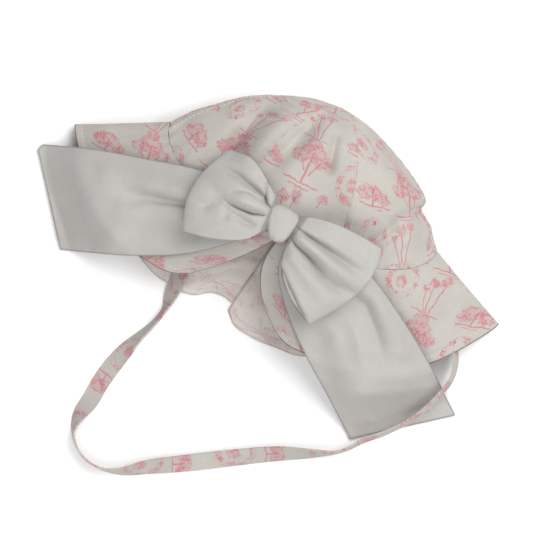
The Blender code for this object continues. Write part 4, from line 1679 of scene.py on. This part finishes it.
@dataclass
class ChinStrap:
    """The flat strip of hat cloth from ear to ear, lying on the surface."""

    wardrobe: Wardrobe
    unit: float
    width: float = 11.5 * MM
    cloth: float = 1.2 * MM
    lay_gap: float = 0.3 * MM
    spans: int = 260
    cells: tuple[int, int] = (10, 500)
    waves: Ripples = Ripples(61, 0.030, 0.25 * MM)
    hem_dip: float = 0.2 * MM
    hem_place: float = 4.2 * MM
    hem_reach: float = 0.5 * MM
    pattern_start: tuple[float, float] = (0.035, 0.02)
    stitch_inset: float = 1.4 * MM
    stitch_lift: float = 0.05 * MM
    stitches: tuple[float, float] = (0.004, 0.996)
    line_points: int = 700

    # x, y and lean of the strip's middle line, from the left ear to the right one: x and y in shares
    # of the ring's half width, the lean in degrees from lying flat.
    route = (
        (-0.880, -0.110, 0),
        (-0.800, -0.330, 0),
        (-0.660, -0.620, 0),
        (-0.550, -0.800, 16),
        (-0.502, -0.921, 30),
        (-0.495, -1.048, 42),
        (-0.490, -1.163, 74),
        (-0.510, -1.263, 75),
        (-0.539, -1.346, 70),
        (-0.576, -1.434, 59),
        (-0.610, -1.542, 33),
        (-0.645, -1.676, 11),
        (-0.666, -1.805, 11),
        (-0.676, -1.950, 17),
        (-0.698, -2.066, 46),
        (-0.688, -2.177, 80),
        (-0.647, -2.241, 85),
        (-0.535, -2.316, 85),
        (-0.406, -2.329, 84),
        (-0.288, -2.293, 70),
        (-0.121, -2.180, 40),
        (0.068, -2.065, 24),
        (0.379, -1.867, 24),
        (0.648, -1.703, 38),
        (0.874, -1.591, 66),
        (0.989, -1.526, 81),
        (1.053, -1.467, 81),
        (1.118, -1.375, 75),
        (1.223, -1.269, 76),
        (1.293, -1.184, 79),
        (1.389, -1.040, 70),
        (1.447, -0.855, 76),
        (1.470, -0.734, 75),
        (1.449, -0.615, 72),
        (1.416, -0.548, 72),
        (1.300, -0.450, 40),
        (1.120, -0.320, 10),
        (0.900, -0.110, 0),
    )

    def sections(self, under: Height) -> tuple[Array, Array]:
        """Lay the strip's middle line.

        Args:
            under: The height of what the strip lies on.

        Returns:
            The line's points and the direction of the strip's width at each of them.
        """
        points = np.array(self.route, float)
        points[:, :2] *= self.unit
        at = lengths_along(points[:, :2])
        path = smooth_rows(np.column_stack([at, points]), np.linspace(0, at[-1], self.spans + 1))
        x, y, lean = path[:, 0], path[:, 1], np.radians(path[:, 2])
        stand = self.width / 2 * np.sin(lean) + self.cloth / 2 * np.cos(lean)
        z = under(x, y) + stand + self.lay_gap
        middle = np.stack([x, y, z], -1)
        forward = np.gradient(middle[:, :2], axis=0)
        forward /= np.linalg.norm(forward, axis=1, keepdims=True)
        flat = np.stack([-forward[:, 1], forward[:, 0]], -1) * np.cos(lean)[:, None]
        return middle, np.column_stack([flat, np.sin(lean)])

    def build(self, under: Height) -> None:
        """Make the strip and the stitches along its closed edge.

        Args:
            under: The height of what the strip lies on.
        """
        middle, wide = self.sections(under)
        at = np.linspace(0, 1, len(middle))
        length = float(np.linalg.norm(np.diff(middle, axis=0), axis=1).sum())

        def place(a: Array, b: Array) -> Array:
            """A point of the strip: a runs over its width and b along it."""
            aside = (a - 0.5) * self.width
            edge = self.hem_dip * np.exp(-(((np.abs(aside) - self.hem_place) / self.hem_reach) ** 2))
            point = read_line(b, at, middle) + read_line(b, at, wide) * aside[..., None]
            point[..., 2] += self.waves.at(b * length, aside) - edge
            point[..., 2] = np.maximum(point[..., 2], self.cloth / 2)
            return point

        aside, onward = self.pattern_start
        piece = ClothPiece(
            name="chin_strap_cloth",
            nodes=("chin_strap",),
            surface=place,
            flat=lambda a, b: np.stack([a * self.width + aside, b * length + onward], -1),
            cells=self.cells,
            wall=self.cloth,
            slot=Slot.PRINT,
            outer=self.wardrobe.printed,
            edge=self.wardrobe.printed,
            free=(False, False, False, False),
        ).make()
        along = np.linspace(*self.stitches, self.line_points)
        inset = np.full(self.line_points, 1 - self.stitch_inset / self.width)
        line, normal = line_on(place, inset, along, self.cloth / 2 + self.stitch_lift)
        StitchRow("strap_stitches", [line], [normal]).make(self.wardrobe.thread)
        log.info("chin strap: %.3f m", length)


@dataclass(frozen=True)
class Studio:
    """The camera straight above, the soft light and the pale surface."""

    image: int = 533
    pixel: float = 0.65 * MM
    origin_px: tuple[float, float] = (303.5, 188.0)
    roll: float = math.radians(26.0)
    distance: float = 2.5
    sensor: float = 36.0
    sight: float = 20.0
    floor_size: float = 6.0
    floor_colour: tuple[float, float, float, float] = (0.95, 0.95, 0.95, 1.0)
    floor_roughness: float = 0.9
    sky_colour: tuple[float, float, float, float] = (1.0, 1.0, 1.0, 1.0)
    sky_strength: float = 0.43
    # name, place in the picture, height, size and power of each lamp.
    lamps = (
        ("key", (1010.0, -330.0), 1.0, 0.9, 12.4),
        ("fill", (-100.0, 1300.0), 0.9, 1.0, 7.2),
    )

    def place(self, px: float, py: float) -> tuple[float, float]:
        """The place on the surface that a pixel of the photograph shows."""
        right, up = (px - self.origin_px[0]) * self.pixel, (self.origin_px[1] - py) * self.pixel
        turn, lean = math.cos(self.roll), math.sin(self.roll)
        return turn * right - lean * up, lean * right + turn * up

    def camera(self) -> None:
        """Hang the camera over the middle of the picture."""
        data = bpy.data.cameras.new("camera")
        data.sensor_width = self.sensor
        data.lens = data.sensor_width * self.distance / (self.image * self.pixel)
        data.clip_end = self.sight
        camera = bpy.data.objects.new("camera", data)
        bpy.context.scene.collection.objects.link(camera)
        x, y = self.place(self.image / 2, self.image / 2)
        camera.matrix_world = Matrix.Translation((x, y, self.distance)) @ Matrix.Rotation(self.roll, 4, "Z")
        bpy.context.scene.camera = camera

    def lamp(self, name: str, px: tuple[float, float], height: float, size: float, power: float) -> None:
        """Hang a soft square lamp that faces the middle of the picture.

        Args:
            name: The lamp's name.
            px: The place in the picture that it hangs over.
            height: How high it hangs.
            size: How wide it is.
            power: How bright it is, in watts.
        """
        data = bpy.data.lights.new(name, "AREA")
        data.size = size
        data.energy = power
        lamp = bpy.data.objects.new(name, data)
        bpy.context.scene.collection.objects.link(lamp)
        lamp.location = (*self.place(*px), height)
        target = Vector((*self.place(self.image / 2, self.image / 2), 0))
        lamp.rotation_euler = (target - lamp.location).to_track_quat("-Z", "Y").to_euler()

    def floor(self) -> None:
        """Lay the pale surface."""
        bpy.ops.object.select_all(action="DESELECT")
        bpy.ops.mesh.primitive_plane_add(size=self.floor_size, location=(0, 0, 0))
        floor = bpy.context.active_object
        floor.name = "floor"
        made = bpy.data.materials.new("pale_surface")
        made.use_nodes = True
        shader = made.node_tree.nodes["Principled BSDF"]
        shader.inputs["Base Color"].default_value = self.floor_colour
        shader.inputs["Roughness"].default_value = self.floor_roughness
        floor.data.materials.append(made)

    def build(self) -> None:
        """Set up the studio."""
        self.camera()
        self.floor()
        for lamp in self.lamps:
            self.lamp(*lamp)
        world = bpy.data.worlds.new("studio")
        world.use_nodes = True
        sky = world.node_tree.nodes["Background"].inputs
        sky["Color"].default_value = self.sky_colour
        sky["Strength"].default_value = self.sky_strength
        scene = bpy.context.scene
        scene.world = world
        scene.view_settings.view_transform = "Standard"
        scene.view_settings.look = "None"


@dataclass(frozen=True)
class LayPlan:
    """How finely each piece is recorded for the next one to lie on, and how softly that one lies."""

    crown_grid: tuple[int, int] = (700, 200)
    brim_grid: tuple[int, int] = (500, 140)
    front_crown_grid: tuple[int, int] = (400, 160)
    front_brim_grid: tuple[int, int] = (400, 140)
    tail_end_grid: tuple[int, int] = (160, 60)
    bow_ease: float = 2.5 * MM
    strap_ease: float = 5.0 * MM
    # Where the parts that the strap may cross start, and how far they go, in shares of the piece.
    front_crown: tuple[float, float] = (0.26, 0.48)
    front_brim: tuple[float, float] = (0.51, 0.49)
    tail_end: tuple[float, float] = (0.86, 0.14)

    def over_hat(self, cloth: LaidCloth, crown: Crown, brim: Brim) -> None:
        """Record the crown and the brim."""
        cloth.add(crown.point, crown.form.cloth, self.crown_grid)
        for side in Side:
            cloth.add(lambda a, b, s=side: brim.point(s, a, b), brim.form.cloth, self.brim_grid)

    def under_strap(self, cloth: LaidCloth, form: HatForm, bow: Bow) -> None:
        """Record the front of the hat and the ends of the tails."""
        start, span = self.front_brim
        for side in Side:
            brim: Surface = lambda a, b, s=side: form.brim_point(s, start + span * a, b)
            cloth.add(brim, form.cloth, self.front_brim_grid)
        first, reach = self.front_crown
        cloth.add(lambda a, b: form.crown_point(first + reach * a, b), form.cloth, self.front_crown_grid)
        low, rest = self.tail_end
        for side in Side:
            end: Surface = lambda a, b, s=side: bow.tail_point(s, a, low + rest * b)
            cloth.add(end, bow.form.cloth, self.tail_end_grid)


def main() -> None:
    """Build the hat round the frame."""
    logging.basicConfig(level=logging.INFO, format="%(name)s %(message)s")
    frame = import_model()
    log.info("frame with %d nodes", len(frame["nodes"]))
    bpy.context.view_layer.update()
    Studio().build()
    wardrobe = Wardrobe.cut()
    form = HatForm()
    crown, brim = Crown(form, wardrobe), Brim(form, wardrobe)
    crown.build()
    brim.build()

    plan = LayPlan()
    over_hat, over_tails, under_strap = LaidCloth(), LaidCloth(), LaidCloth()
    for cloth in (over_hat, over_tails):
        plan.over_hat(cloth, crown, brim)
    bow = Bow(BowForm(), wardrobe, over_hat.heights(plan.bow_ease))
    plan.under_strap(under_strap, form, bow)
    bow.build(over_tails)
    ChinStrap(wardrobe, form.ring_half_width).build(under_strap.heights(plan.strap_ease))


if __name__ == "__main__":
    main()
